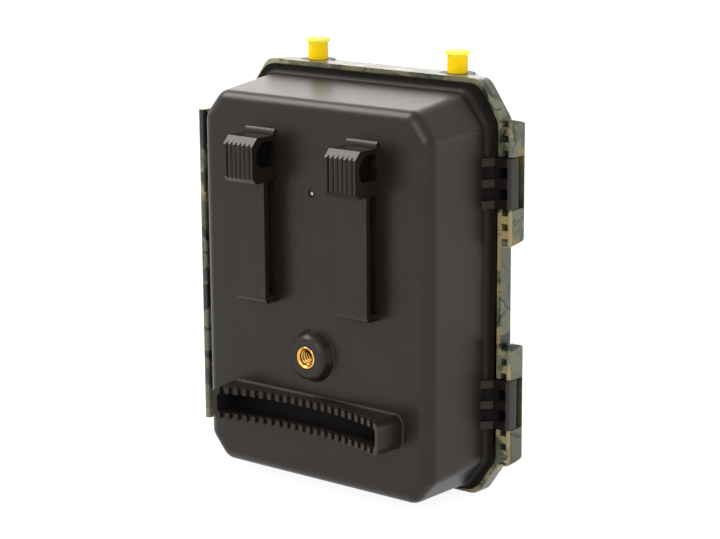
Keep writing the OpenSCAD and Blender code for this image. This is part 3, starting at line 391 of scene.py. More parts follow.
def sliced(piece, point, normal):
    """Takes off what lies beyond a plane and closes the cut with a flat face."""
    shape = bmesh.new()
    shape.from_mesh(piece.data)
    cut = bmesh.ops.bisect_plane(shape, geom=shape.verts[:] + shape.edges[:] + shape.faces[:], dist=1e-6,
                                 plane_co=point, plane_no=normal, clear_outer=True)
    rim = [e for e in cut["geom_cut"] if isinstance(e, bmesh.types.BMEdge)]
    bmesh.ops.triangle_fill(shape, edges=rim, use_dissolve=True, normal=normal)
    shape.to_mesh(piece.data)
    shape.free()


for name in ("strap_loop_left", "strap_loop_right"):
    loop = dressed(name, cover_plastic, 0, smooth=20)
    low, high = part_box(name)
    block_top = high.z - TOP_STEP
    sliced(loop, (0, high.y, block_top - GRIP_TOP_CHAMFER), (0, 1, 1))
    eased(loop, 0, 20)
    # Painted shade: faces deep in the grooved grip block take the darkest matt finish.
    loop.data.materials.append(flange_matt)
    for face in loop.data.polygons:
        spot = face.center
        deep = min(spot.x - low.x, high.x - spot.x)
        by_grooves = GROOVES_TO < block_top - spot.z < GROOVES_FROM
        if by_grooves and deep > GRIP_CHEEK and spot.y < high.y - GRIP_FACE:
            face.material_index = 1
dressed("tree_bracket", cover_plastic, 0.14, smooth=26)

# ------------------------------------------------
# Front shell and side latch. Moulded ABS under a dipped film of leaves in tan,
# grey-green, olive and dark green with thin twigs, satin over a smooth skin.
camo_plastic = material("camo_plastic", (0.16, 0.15, 0.09), 0.34, IOR=1.48)
skin_spot = spot_of(camo_plastic)
sway = add(camo_plastic, "TexNoise", {"Vector": skin_spot}, Scale=75.0, Detail=5.0, Roughness=0.6)
push = add(camo_plastic, "VectorMath", {0: sway.outputs["Color"], "Scale": 0.010}, operation="SCALE")
bent = add(camo_plastic, "VectorMath", {0: skin_spot, 1: push.outputs[0]}, operation="ADD").outputs[0]
FULL_TURN = 6.283


def axis_of(made, name):
    """One coordinate of the surface."""
    return add(made, "SeparateXYZ", {0: spot_of(made)}).outputs[name]


def leaves(under, size, half_length, half_width, shift, share, vein, *tints):
    """One layer of scattered pointed leaves, each with its own turn, tint, midrib and side veins."""
    lay = add(camo_plastic, "Mapping", {"Vector": bent}, Scale=(1 / size,) * 3,
              Location=(shift, shift * 0.7, shift * 0.3)).outputs[0]
    cells = add(camo_plastic, "TexVoronoi", {"Vector": lay}, Scale=1.0)
    off = add(camo_plastic, "VectorMath", {0: lay, 1: cells.outputs["Position"]}, operation="SUBTRACT")
    turn = add(camo_plastic, "VectorMath", {0: cells.outputs["Color"], "Scale": FULL_TURN}, operation="SCALE")
    laid = add(camo_plastic, "VectorRotate", {"Vector": off.outputs[0], "Rotation": turn.outputs[0]},
               rotation_type="EULER_XYZ")
    axes = add(camo_plastic, "SeparateXYZ", {0: laid.outputs[0]})
    along = calc("DIVIDE", axes.outputs["X"], half_length)
    across = calc("DIVIDE", calc("ABSOLUTE", axes.outputs["Y"]), half_width)
    body = calc("SUBTRACT", 1.0, calc("MULTIPLY", along, along), across)
    pick = add(camo_plastic, "SeparateColor", {0: cells.outputs["Color"]})
    mask = calc("MULTIPLY", stepped(body, 0.0, 0.07), stepped(pick.outputs["Green"], share, share - 0.01))
    slant = calc("ADD", calc("MULTIPLY", along, 9.0), calc("MULTIPLY", across, 4.0))
    side_veins = stepped(calc("SINE", slant), 0.75, 0.98, 0.0, 0.55)
    drawn = calc("MULTIPLY", calc("MAXIMUM", stepped(across, 0.10, 0.04), side_veins), vein)
    return mixed(mask, under, mixed(drawn, ramp(pick.outputs["Red"], *tints), (0.03, 0.035, 0.018)))


clumps = sway.outputs["Fac"]
layer = ramp(clumps, (0.32, (0.035, 0.042, 0.022)), (0.5, (0.08, 0.088, 0.05)), (0.66, (0.14, 0.125, 0.06)))
layer = leaves(layer, 0.017, 0.62, 0.30, 1.3, 1.0, 0.35,
               (0.2, (0.06, 0.072, 0.042)), (0.6, (0.11, 0.125, 0.08)), (0.9, (0.19, 0.18, 0.10)))
layer = leaves(layer, 0.014, 0.60, 0.22, 4.1, 0.45, 0.35,
               (0.2, (0.17, 0.115, 0.032)), (0.5, (0.24, 0.185, 0.08)), (0.9, (0.30, 0.27, 0.15)))
layer = leaves(layer, 0.0125, 0.62, 0.20, 7.7, 0.6, 0.2,
               (0.2, (0.012, 0.018, 0.010)), (0.6, (0.025, 0.036, 0.018)), (0.9, (0.05, 0.062, 0.026)))
layer = leaves(layer, 0.012, 0.66, 0.04, 11.9, 0.55, 0.0,
               (0.2, (0.014, 0.013, 0.009)), (0.9, (0.05, 0.04, 0.022)))

# Pale straw patches are painted on the shell's rear-facing faces only, and less near the top: painted light
# for the light those faces catch; the faces are marked below, once the shell has its final mesh.
rear = add(camo_plastic, "Attribute", attribute_name="rear_face").outputs["Fac"]
straw_painted_light = calc("MULTIPLY", rear, stepped(axis_of(camo_plastic, "Z"), 0.139, 0.130, 0.2, 1.0),
             stepped(clumps, 0.48, 0.53, 0.0, 0.7))
layer = mixed(straw_painted_light, layer, (0.33, 0.26, 0.12))
blots = add(camo_plastic, "TexNoise", {"Vector": bent}, Scale=420.0, Detail=4.0).outputs["Fac"]
wire(mixed(stepped(blots, 0.60, 0.70, 0.0, 0.45), layer, (0.03, 0.032, 0.02)), "Base Color")
wire(stepped(blots, 0.3, 0.7, 0.28, 0.42), "Roughness")
embossed(noise(camo_plastic, 900.0), 0.03, 0.12)
shell = dressed("front_shell", camo_plastic, 0.25, smooth=31)
REAR_FROM = 8.5 * MM
rear_face = shell.data.attributes.new("rear_face", "FLOAT", "FACE")
for k, face in enumerate(shell.data.polygons):
    rear_face.data[k].value = float(face.normal.y > 0.7 and face.center.y > REAR_FROM)
dressed("latch_plate", camo_plastic, 0.3)

# ------------------------------------------------
# Dust caps. Soft yellow-orange polyethylene plugs, brighter at the flange where
# light comes through, pushed over the jacks on black rubber washers.
cap_yellow = material("cap_yellow", (1.0, 0.60, 0.002), 0.5, Subsurface_Weight=0.2, Subsurface_Scale=0.001,
                      Subsurface_Radius=(1.0, 0.7, 0.1), Specular_IOR_Level=0.12)
cap_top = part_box("dust_cap_left")[1].z
# Painted light: the cap's base colour turns brighter yellow towards its top flange.
near_top = stepped(axis_of(cap_yellow, "Z"), cap_top - 2.2 * MM, cap_top - 1.2 * MM)
wire(ramp(near_top, (0.0, (1.0, 0.64, 0.001)), (1.0, (1.0, 0.95, 0.10))), "Base Color")
grain(cap_yellow, 1.2, 0.04, 0.2)
for name in ("dust_cap_left", "dust_cap_right"):
    dressed(name, cap_yellow, 0.15)
washer_black = material("washer_black", (0.014, 0.013, 0.012), 0.55)
grain(washer_black, 0.5, 0.03)
dressed("jack_washers", washer_black, 0.08)

# ------------------------------------------------
# Tripod insert. A turned brass bush with a quarter-inch thread, moulded into
# the boss; its mouth is countersunk and its face shows fine turning marks.
AIM = {"+Z": (0, 0, 0), "-Z": (math.pi, 0, 0), "+Y": (-math.pi / 2, 0, 0), "-Y": (math.pi / 2, 0, 0)}


def meshed(name, shape, paint):
    """A piece made from an edited shape, with its finish."""
    bmesh.ops.recalc_face_normals(shape, faces=shape.faces)
    mesh = bpy.data.meshes.new(name)
    shape.to_mesh(mesh)
    shape.free()
    mesh.materials.append(paint)
    return placed(name, mesh)


def turned(name, profile, place, aim, paint, sides=48, bare=None, ring=False):
    """A lathe body from (height, radius) pairs in mm; a ring joins its last pair to its first."""
    shape = bmesh.new()
    rings = []
    for height, radius in profile:
        angles = [2 * math.pi * k / sides for k in range(sides if radius else 1)]
        rings.append([shape.verts.new((radius * math.cos(a), radius * math.sin(a), height)) for a in angles])
    for low, high in zip(rings, rings[1:] + rings[:1] if ring else rings[1:]):
        for k in range(sides):
            n = (k + 1) % sides
            loop = (low[k % len(low)], low[n % len(low)], high[n % len(high)], high[k % len(high)])
            corners = list(dict.fromkeys(loop))
            if len(corners) > 2:
                shape.faces.new(corners)
    if bare:
        flag = shape.faces.layers.bool.new("bare")
        for face in shape.faces:
            face[flag] = bare(face.calc_center_median())
    turn = Matrix.Rotation(AIM[aim][0], 4, "X")
    shape.transform(Matrix.Translation(place) @ turn @ Matrix.Scale(MM, 4))
    piece = meshed(name, shape, paint)
    shaded(piece.data, 30)
    return piece


def tree_of(name, **sizes):
    """The input node of a new geometry tree, with named inputs for its sizes and its finish."""
    tree = bpy.data.node_groups.new(name, "GeometryNodeTree")
    sockets = tree.interface
    sockets.new_socket("Geometry", in_out="INPUT", socket_type="NodeSocketGeometry")
    for key, value in sizes.items():
        kind = {int: "Int", float: "Float", type(None): "Object"}[type(value)]
        socket = sockets.new_socket(key.replace("_", " "), in_out="INPUT", socket_type="NodeSocket" + kind)
        if value is not None:
            socket.default_value = value
    for finish in ("Finish", "Bare Finish"):
        sockets.new_socket(finish, in_out="INPUT", socket_type="NodeSocketMaterial")
    sockets.new_socket("Geometry", in_out="OUTPUT", socket_type="NodeSocketGeometry")
    return add(tree, "NodeGroupInput")


def set_out(given, unit):
    """Puts a unit on every starting point at its own turn, then closes the tree."""
    turn = add(given, "GeometryNodeInputNamedAttribute", data_type="FLOAT_VECTOR", Name="turn")
    facing = add(given, "FunctionNodeEulerToRotation", {"Euler": turn.outputs["Attribute"]})
    laid = add(given, "GeometryNodeInstanceOnPoints", {
        "Points": given.outputs["Geometry"], "Instance": unit, "Rotation": facing.outputs[0]})
    real = add(given, "GeometryNodeRealizeInstances", {"Geometry": laid.outputs[0]})
    skin = add(given, "GeometryNodeSetMaterial", {
        "Geometry": real.outputs[0], "Material": given.outputs["Finish"]})
    marked = add(given, "GeometryNodeInputNamedAttribute", data_type="BOOLEAN", Name="bare")
    ends = add(given, "GeometryNodeSetMaterial", {
        "Geometry": skin.outputs[0], "Selection": marked.outputs["Attribute"],
        "Material": given.outputs["Bare Finish"]})
    add(given, "NodeGroupOutput", {0: ends.outputs[0]})


def grown(name, given, spots, aims, paint, bare_paint=None, smooth=30, **sizes):
    """Runs a tree on loose points, each with its turn, and keeps the result as a plain mesh."""
    start = bpy.data.meshes.new(name)
    start.from_pydata([tuple(spot) for spot in spots], [], [])
    turn = start.attributes.new("turn", "FLOAT_VECTOR", "POINT")
    for point, aim in zip(turn.data, aims):
        point.vector = AIM[aim] if isinstance(aim, str) else aim
    piece = placed(name, start)
    work = piece.modifiers.new("work", "NODES")
    work.node_group = given.id_data
    wanted = {"Finish": paint, "Bare Finish": bare_paint or paint}
    wanted.update({key.replace("_", " "): value for key, value in sizes.items()})
    for item in work.node_group.interface.items_tree:
        if item.in_out == "INPUT" and item.name in wanted:
            work[item.identifier] = wanted[item.name]
    settle(piece)
    shaded(piece.data, smooth)
    return piece


coil = tree_of("coil", Turns=5.0, Start_Radius=0.003, End_Radius=0.003, Height=0.006, Wire=0.0003,
               Steps=24, Sides=6)
helix = add(coil, "GeometryNodeCurveSpiral", {
    "Resolution": coil.outputs["Steps"], "Rotations": coil.outputs["Turns"], "Height": coil.outputs["Height"],
    "Start Radius": coil.outputs["Start Radius"], "End Radius": coil.outputs["End Radius"]})
upright = add(coil, "GeometryNodeSetCurveNormal", {"Curve": helix.outputs[0]}, mode="Z_UP")
strand = add(coil, "GeometryNodeCurvePrimitiveCircle", {
    "Resolution": coil.outputs["Sides"], "Radius": coil.outputs["Wire"]})
wound = add(coil, "GeometryNodeCurveToMesh", {
    "Curve": upright.outputs[0], "Profile Curve": strand.outputs[0]}, Fill_Caps=True)
set_out(coil, wound.outputs[0])


def worn(cloud, gloss, *tints):
    """Ties roughness and tint to one cloudy pattern, as handling wears them together."""
    wire(stepped(cloud, *gloss), "Roughness")
    tint = ramp(cloud, *tints)
    wire(tint, "Base Color")
    return tint


insert_low, insert_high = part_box("tripod_insert")
insert_spot = Vector((0, insert_low.y, (insert_low.z + insert_high.z) / 2))
insert_long = (insert_high.y - insert_low.y) / MM
insert_brass = material("insert_brass", (0.86, 0.56, 0.13), 0.2, Metallic=1.0)
out_by = spot_of(insert_brass)
for operation, value in (("SUBTRACT", insert_spot), ("MULTIPLY", (1, 0, 1))):
    out_by = add(insert_brass, "VectorMath", {0: out_by, 1: value}, operation=operation).outputs[0]
out_by = add(insert_brass, "VectorMath", {0: out_by}, operation="LENGTH").outputs["Value"]
turning = add(insert_brass, "TexNoise", {"W": out_by}, noise_dimensions="1D", Scale=9000.0, Detail=2.0)
embossed(turning.outputs["Fac"], 0.03, 0.25)
bright_brass = worn(noise(insert_brass, 700.0, 3.0), (0.3, 0.7, 0.14, 0.3),
                    (0.35, (0.72, 0.40, 0.075)), (0.6, (0.90, 0.60, 0.15)))
# Painted shade: the brass turns dark in a ring at the thread's root, deep in the bore.
root_painted_shade = calc("MULTIPLY", stepped(out_by, 0.00272, 0.00292), stepped(out_by, 0.00318, 0.00306))
wire(mixed(root_painted_shade, bright_brass, (0.20, 0.055, 0.008)), "Base Color")
fitted(turned("insert_bush", [
    (0, 0), (0, 4.2), (insert_long - 0.3, 4.2), (insert_long, 3.9), (insert_long, 3.6),
    (insert_long - 0.7, 3.02), (0.8, 3.02), (0.8, 0)], insert_spot, "+Y", insert_brass, 64), "tripod_insert")
fitted(grown("insert_thread", coil, [insert_spot + Vector((0, 1.2 * MM, 0))], ["+Y"], insert_brass, smooth=20,
             Turns=5.6, Start_Radius=0.003, End_Radius=0.003, Height=0.0071, Wire=0.0004,
             Steps=40, Sides=4), "tripod_insert")

# ------------------------------------------------
# Rubber seal and port plug. Black moulded silicone: a cord in the land between
# the two housings, dusty where it is pressed, and a plug on its own strap.
gasket_rubber = material("gasket_rubber", (0.013, 0.013, 0.012), 0.55, IOR=1.42)
worn(noise(gasket_rubber, 160.0, 6.0), (0.3, 0.7, 0.42, 0.66),
     (0.35, (0.010, 0.010, 0.0095)), (0.75, (0.028, 0.027, 0.025)))
grain(gasket_rubber, 0.4, 0.03, 0.3)
dressed("cover_gasket", gasket_rubber, 0.3)
dressed("port_plug", gasket_rubber, 0.4)

# ------------------------------------------------
# Battery tray and its sliding lid. Black ABS mouldings, held by four screws;
# the lid has finger ribs at its lower end and three vent slots.
tray_plastic = material("tray_plastic", (0.022, 0.022, 0.024), 0.42, IOR=1.45)
worn(noise(tray_plastic, 90.0, 8.0, Roughness=0.65), (0.3, 0.7, 0.32, 0.5),
     (0.35, (0.017, 0.017, 0.019)), (0.7, (0.030, 0.030, 0.032)))
grain(tray_plastic, 0.6, 0.06, 0.4)
dressed("battery_tray", tray_plastic, 0.18)
dressed("battery_lid", tray_plastic, 0.2)
dressed("port_block", tray_plastic, 0.15)

# ------------------------------------------------
# Eight cells in two rows. Steel cans in plain grey sleeves with one dark band,
# bare at both ends; every second cell stands upside down.
CELL_PITCH = 14.7
CELL_HALF = 26.8
CELL_DEPTH = 19.6
CELL_ROWS = (46.3, 103.5)
BARE_BELOW, BARE_ABOVE = -22.6, 25.55
SLEEVE_FOOT = 17.7 * MM
ROWS_PER_METRE = 17.48
unit_tree = tree_of("set_out_units", Unit=None)
chosen = add(unit_tree, "GeometryNodeObjectInfo", {"Object": unit_tree.outputs["Unit"]},
             transform_space="ORIGINAL")
set_out(unit_tree, chosen.outputs["Geometry"])


def planted(name, unit, spots, aims, paint, node, **more):
    """Sets a unit out on its spots, takes the loose unit away and fits the result."""
    piece = grown(name, unit_tree, spots, aims, paint, Unit=unit, **more)
    bpy.data.objects.remove(unit)
    return fitted(piece, node)


def brushed(name, color, roughness):
    """Plated metal with fine streaks and a little tarnish."""
    made = material(name, color, roughness, Metallic=1.0)
    streaks = add(made, "Mapping", {"Vector": spot_of(made)}, Scale=(0.08, 1.0, 1.0))
    lines = add(made, "TexNoise", {"Vector": streaks.outputs[0]}, Scale=2500.0, Detail=3.0)
    embossed(lines.outputs["Fac"], 0.02, 0.12)
    worn(noise(made, 260.0, 4.0), (0.3, 0.7, roughness - 0.07, roughness + 0.12),
         (0.35, tuple(0.78 * c for c in color)), (0.62, color))
    return made


cell_metal = material("cell_metal", (0.34, 0.35, 0.37), 0.3, Metallic=0.6, Coat_Weight=0.6,
                      Coat_Roughness=0.12)
above_foot = calc("SUBTRACT", axis_of(cell_metal, "Z"), SLEEVE_FOOT)
in_row = calc("FRACT", calc("MULTIPLY", above_foot, ROWS_PER_METRE))
wire(ramp(in_row, (0.0, (0.30, 0.31, 0.33)), (0.34, (0.03, 0.032, 0.036)), (0.62, (0.36, 0.37, 0.39)),
          mode="CONSTANT"), "Base Color")
grain(cell_metal, 0.9, 0.02, 0.15)
plated_steel = brushed("plated_steel", (0.62, 0.62, 0.61), 0.24)
cell_unit = turned("cell_unit", [
    (-23.2, 0), (-23.2, 4.6), (-22.9, 5.0), (-22.9, 6.2), (-22.6, 6.8), (-22.1, 7.1), (24.9, 7.1),
    (25.4, 6.8), (25.6, 6.2), (25.6, 3.0), (25.8, 2.6), (26.6, 2.6), (CELL_HALF, 2.3), (CELL_HALF, 0)],
    (0, 0, 0), "+Z", cell_metal, 28, bare=lambda spot: not BARE_BELOW < spot.z < BARE_ABOVE)
cell_spots, cell_aims = [], []
for row, height in enumerate(CELL_ROWS):
    for i in range(4):
        cell_spots.append(Vector(((i - 1.5) * CELL_PITCH, CELL_DEPTH, height)) * MM)
        cell_aims.append("-Z" if (i + row) % 2 else "+Z")
planted("cells", cell_unit, cell_spots, cell_aims, cell_metal, "battery_cells", bare_paint=plated_steel)

# ------------------------------------------------
# Contact springs and plates. Nickel-plated spring wire wound to a cone at the
# flat end of each can, and pressed plates with a raised button for each nub.
to_foot = Vector((0, 0, CELL_HALF)) * MM
spring_spots = [spot - to_foot if aim == "+Z" else spot + to_foot for spot, aim in zip(cell_spots, cell_aims)]
fitted(grown("springs", coil, spring_spots, cell_aims, plated_steel, Turns=2.5, Start_Radius=0.0039,
             End_Radius=0.002, Height=0.0032, Wire=0.0004, Steps=20, Sides=8), "battery_springs")
dressed("battery_contacts", plated_steel, 0.1)

# ------------------------------------------------
# Screws. Zinc-plated steel with low pan heads and a cross recess: four hold
# the battery tray in the cover and four hold the inner panel in the shell.
screw_steel = brushed("screw_steel", (0.56, 0.56, 0.58), 0.28)
RECESS_RIM, RECESS_FLOOR = 1.35, 0.7
for node, shank, height, aim, side, depth, levels in (
        ("tray_screws", 9.0, 1.6, "-Y", 35, 26.6, (28.9, 120.9)),
        ("panel_screws", 6.0, 0.9, "+Y", 44, 8.6, (19.9, 131.9))):
    screw_unit = turned(node[:-1], [
        (-shank, 0), (-shank, 0.9), (0.6 - shank, 1.25), (0, 1.25), (0, 2.5), (0.45 * height, 2.5),
        (0.8 * height, 2.2), (height, 1.7), (height, RECESS_RIM), (0.55 * height, RECESS_FLOOR),
        (0.4 * height, 0)], (0, 0, 0), "+Z", screw_steel, 24)
    for vert in screw_unit.data.vertices:
        reach = math.hypot(vert.co.x, vert.co.y) / MM
        around = math.degrees(math.atan2(vert.co.y, vert.co.x)) % 90
        if abs(reach - RECESS_RIM) < 0.001 and min(around, 90 - around) < 3:
            vert.co.z -= 0.5 * height * MM
        if abs(reach - RECESS_FLOOR) < 0.001 and min(around, 90 - around) > 20:
            vert.co.z += 0.4 * height * MM
    spots = [Vector((x, depth, z)) * MM for x in (-side, side) for z in levels]
    planted(node + "_skin", screw_unit, spots, [aim] * 4, screw_steel, node, smooth=25)
dressed("hinge_pins", screw_steel, 0.15)
dressed("latch_pin", screw_steel, 0.15)

# ------------------------------------------------
# Face plate and lens bezel. Satin black plates set into the front shell; the
# bezel's mouth steps inwards in fine rings that keep stray light off the lens.
LENS = Vector((0, 0, 71.9)) * MM
face_plastic = material("face_plastic", (0.014, 0.014, 0.0145), 0.24, IOR=1.48)
face_tone = worn(noise(face_plastic, 120.0, 8.0, Roughness=0.7), (0.3, 0.7, 0.18, 0.32),
                 (0.35, (0.011, 0.011, 0.0115)), (0.7, (0.019, 0.019, 0.0195)))
wire(dusted(face_tone, 5.5, 0.03, 0.3, (0.12, 0.12, 0.115)), "Base Color")
grain(face_plastic, 0.9, 0.03, 0.22)
dressed("face_plate", face_plastic, 0.25)


def baffles(count, height, radius, drop, shrink):
    """The outline of fine rings that step down into a bore, in mm."""
    outline = []
    for k in range(count):
        outline += [(height - drop * step, radius - shrink * k) for step in (k, k + 1)]
    return outline


fitted(turned("lens_ring", [
    (17.2, 9.0), (17.2, 14.9), (19.8, 14.9), (20.1, 14.8), (21.1, 13.65), (21.2, 13.4), (21.2, 11.95),
    *baffles(5, 21.2, 11.67, 0.4, 0.53), (19.2, 9.0)], LENS, "-Y", face_plastic, 96, ring=True), "lens_bezel")

# ------------------------------------------------
# Lamp window. Smoked acrylic that passes infrared and lets the rows of diodes
# behind it show only faintly.
window_plastic = material("window_plastic", (0.10, 0.07, 0.085), 0.05, IOR=1.49, Transmission_Weight=1.0)
worn(noise(window_plastic, 70.0, 9.0, Roughness=0.75), (0.45, 0.75, 0.03, 0.12),
     (0.3, (0.10, 0.07, 0.085)), (0.7, (0.13, 0.095, 0.11)))
dressed("led_window", window_plastic, 0.25)

# ------------------------------------------------
# Circuit boards. Green solder resist over copper tracks with gold pads, cut
# from glass-cloth laminate; the tracks run across in some patches and up in others.
TRACKS_PER_METRE = 700.0
board_green = material("board_green", (0.012, 0.075, 0.028), 0.28, IOR=1.5)
across_board, up_board = (calc("MULTIPLY", axis_of(board_green, name), TRACKS_PER_METRE) for name in "XZ")
patch = add(board_green, "TexVoronoi", {"Vector": spot_of(board_green)}, Scale=110.0, distance="CHEBYCHEV")
which = add(board_green, "SeparateColor", {0: patch.outputs["Color"]}).outputs[0]
way = add(board_green, "Mix", {0: stepped(which, 0.49, 0.51), 2: across_board, 3: up_board},
          data_type="FLOAT")
track = stepped(calc("SINE", calc("MULTIPLY", way.outputs[0], FULL_TURN)), 0.2, 0.5)
pads = add(board_green, "TexVoronoi", {"Vector": spot_of(board_green)}, Scale=420.0)
few = stepped(add(board_green, "SeparateColor", {0: pads.outputs["Color"]}).outputs[1], 0.72, 0.74)
gilt = calc("MULTIPLY", stepped(pads.outputs["Distance"], 0.24, 0.2), few)
copper = mixed(track, (0.008, 0.055, 0.020), (0.022, 0.13, 0.045))
wire(mixed(gilt, copper, (0.72, 0.55, 0.24)), "Base Color")
wire(gilt, "Metallic")
embossed(track, 0.03, 0.3)
dressed("led_board", board_green, 0.1)
dressed("main_board", board_green, 0.1)

# ------------------------------------------------
# Infrared diodes. Forty water-clear epoxy domes on flanged feet, soldered to
# the lamp board in five rows of eight, with a silver die cup in each.
LED_ACROSS, LED_UP = 6.4, 6.6
BOARD_FACE, LAMP_MID = -13.6, 111.9
led_clear = material("led_clear", (0.86, 0.88, 0.92), 0.04, IOR=1.54, Transmission_Weight=0.85)
worn(noise(led_clear, 500.0), (0.35, 0.7, 0.02, 0.1), (0.3, (0.82, 0.84, 0.90)), (0.7, (0.92, 0.93, 0.95)))
die_silver = brushed("die_silver", (0.75, 0.74, 0.70), 0.2)
led_dome = [(0.9 + 0.9 * math.sin(math.radians(a)), 1.5 * math.cos(math.radians(a))) for a in (0, 22, 44, 66)]
led_unit = turned("diode", [(0, 0), (0, 1.8), (0.35, 1.8), (0.4, 1.5), *led_dome, (1.8, 0)],
                  (0, 0, 0), "+Z", led_clear, 14)
cup_unit = turned("die_cup", [
    (0.1, 0), (0.1, 0.7), (0.5, 1.0), (0.3, 0.5), (0.3, 0.25), (0.45, 0.25), (0.45, 0)],
    (0, 0, 0), "+Z", die_silver, 12)
led_spots = [Vector(((i - 3.5) * LED_ACROSS, BOARD_FACE, LAMP_MID + (j - 2) * LED_UP)) * MM
             for i in range(8) for j in range(5)]
led_aims = ["-Y"] * len(led_spots)
planted("diodes", led_unit, led_spots, led_aims, led_clear, "ir_leds", smooth=35)
planted("die_cups", cup_unit, led_spots, led_aims, die_silver, "ir_leds")

# ------------------------------------------------
# Camera lens. Coated front glass in the bezel, a black barrel with baffle
# rings and a second glass, the holder, and the switching filter on its slide.
lens_clear = material("lens_clear", (0.97, 0.98, 1.0), 0.01, IOR=1.3, Transmission_Weight=1.0,
                      Thin_Film_Thickness=120.0, Thin_Film_IOR=1.14)
wire(stepped(noise(lens_clear, 900.0, 4.0), 0.6, 0.8, 0.005, 0.06), "Roughness")
bow = [(18.8 - 0.6 * (r / 8.6) ** 2, r) for r in (8.6, 6.5, 4.3, 2.2)]
fitted(turned("front_glass", [(17.4, 0), (17.4, 8.8), (17.5, 8.93), (18.1, 8.93), *bow, (18.8, 0)],
              LENS, "-Y", lens_clear, 64), "lens_glass")
speaker_black = material("speaker_black", (0.012, 0.012, 0.012), 0.4, IOR=1.46)
worn(noise(speaker_black, 400.0, 5.0), (0.3, 0.7, 0.3, 0.5),
     (0.35, (0.009, 0.009, 0.0095)), (0.7, (0.020, 0.020, 0.021)))
grain(speaker_black, 0.5, 0.02, 0.25)
fitted(turned("barrel", [
    (5.0, 3.5), (5.0, 6.0), (13.4, 6.0), (13.4, 7.3), (13.6, 7.5), (14.6, 7.5), (14.8, 7.3), (15.0, 7.5),
    (16.0, 7.5), (16.2, 7.3), (16.4, 7.5), (16.7, 7.5), (16.8, 7.3), *baffles(6, 16.8, 5.8, 0.55, 0.36),
    (13.4, 3.5)], LENS, "-Y", speaker_black, 64, ring=True), "lens_barrel")
inner_glass = fitted(turned("inner_glass", [
    (11.8, 0), (11.8, 3.45), (12.8, 3.45), (13.2, 2.7), (13.5, 1.6), (13.6, 0)],
    LENS, "-Y", lens_clear, 40), "lens_barrel")
dressed("lens_holder", speaker_black, 0.15)
filter_red = material("filter_red", (0.34, 0.03, 0.05), 0.06, IOR=1.5, Transmission_Weight=0.35,
                      Coat_Weight=0.5)
worn(noise(filter_red, 350.0, 4.0), (0.4, 0.75, 0.03, 0.12),
     (0.3, (0.26, 0.02, 0.035)), (0.7, (0.42, 0.05, 0.06)))
dressed("ir_filter", filter_red, 0.08)
dressed("status_window", filter_red, 0.2)


def rectangle(made, across, up):
    """A mask of an upright rectangle, each way as its middle, outer edge and inner edge."""
    sides = []
    for name, (middle, outer, inner) in (("X", across), ("Z", up)):
        away = calc("ABSOLUTE", calc("SUBTRACT", axis_of(made, name), middle))
        sides.append(stepped(away, outer, inner))
    return calc("MULTIPLY", *sides)


DIE_FRONT = -1.02 * MM
chip_black = material("chip_black", (0.015, 0.015, 0.02), 0.12, Coat_Weight=1.0)
active = rectangle(chip_black, (LENS.x, 2.3 * MM, 2.25 * MM), (LENS.z, 1.9 * MM, 1.85 * MM))
wire(mixed(active, (0.02, 0.02, 0.024), (0.10, 0.05, 0.16)), "Base Color")
wire(active, "Metallic")
sensor_skin = dressed("image_sensor", board_green, 0.06)
sensor_skin.data.materials.append(chip_black)
for face in sensor_skin.data.polygons:
    if face.center.y < DIE_FRONT:
        face.material_index = 1

# ------------------------------------------------
# Motion sensor. A metal can behind a milky polythene dome, which is moulded as
# a mosaic of small bulging lenses, each with fine rings.
PIR = Vector((0, 0, 33.9)) * MM
FACET = 3.8
FACET_HALF = 0.47 * FACET
FACET_SKIRT = 0.6
DOME_R, DOME_INNER_R, DOME_MID = 24.0, 23.2, -2.45
DOME_FOOT = -18.35 * MM
dome_white = material("dome_white", (0.68, 0.68, 0.645), 0.36, Subsurface_Weight=0.35, Subsurface_Scale=0.002)
in_facet = []
for name, middle in (("X", PIR.x), ("Z", PIR.z)):
    pitches = calc("DIVIDE", calc("SUBTRACT", axis_of(dome_white, name), middle), FACET * MM)
    centred = calc("SUBTRACT", calc("FRACT", calc("ADD", pitches, 20.5)), 0.5)
    in_facet.append(calc("MULTIPLY", centred, centred))
far_out = calc("POWER", calc("ADD", *in_facet), 0.5)
saw = calc("FRACT", calc("MULTIPLY", far_out, 9.0))
rings = calc("MULTIPLY", saw, stepped(axis_of(dome_white, "Y"), -18.48 * MM, -18.6 * MM))
embossed(rings, 0.06, 0.4)
wire(mixed(calc("MULTIPLY", rings, 0.5), (0.68, 0.68, 0.645), (0.52, 0.52, 0.49)), "Base Color")
plate_skin = dressed("pir_dome", dome_white, 0, smooth=22)
sliced(plate_skin, (0, DOME_FOOT, 0), (0, -1, 0))
eased(plate_skin, 0.15, 22)


def bowl(radius, reaches):
    """A stretch of the dome's ball as (height, radius) pairs in mm."""
    return [(DOME_MID + math.sqrt(radius ** 2 - r ** 2), r) for r in reaches]


fitted(turned("sensor_dome", [
    *bowl(DOME_INNER_R, (0, 2, 4, 6, 8, 9.5, 10.57)), (18.2, 11.95),
    *bowl(DOME_R, (11.89, 10.5, 9, 7.5, 6, 4.5, 3, 1.5, 0))], PIR, "-Y", dome_white, 64), "pir_dome")
facet = bmesh.new()
bmesh.ops.create_grid(facet, x_segments=6, y_segments=6, size=FACET_HALF)
for vert in facet.verts:
    away = max(abs(vert.co.x), abs(vert.co.y)) / FACET_HALF
    vert.co.z = 0.22 * (1 - away ** 2) - 0.04
skirt = bmesh.ops.extrude_edge_only(facet, edges=[e for e in facet.edges if e.is_boundary])["geom"]
for vert in (v for v in skirt if isinstance(v, bmesh.types.BMVert)):
    vert.co.z = -FACET_SKIRT
bmesh.ops.contextual_create(facet, geom=[e for e in facet.edges if e.is_boundary])
facet.transform(Matrix.Scale(MM, 4))
facet_spots, facet_turns = [], []
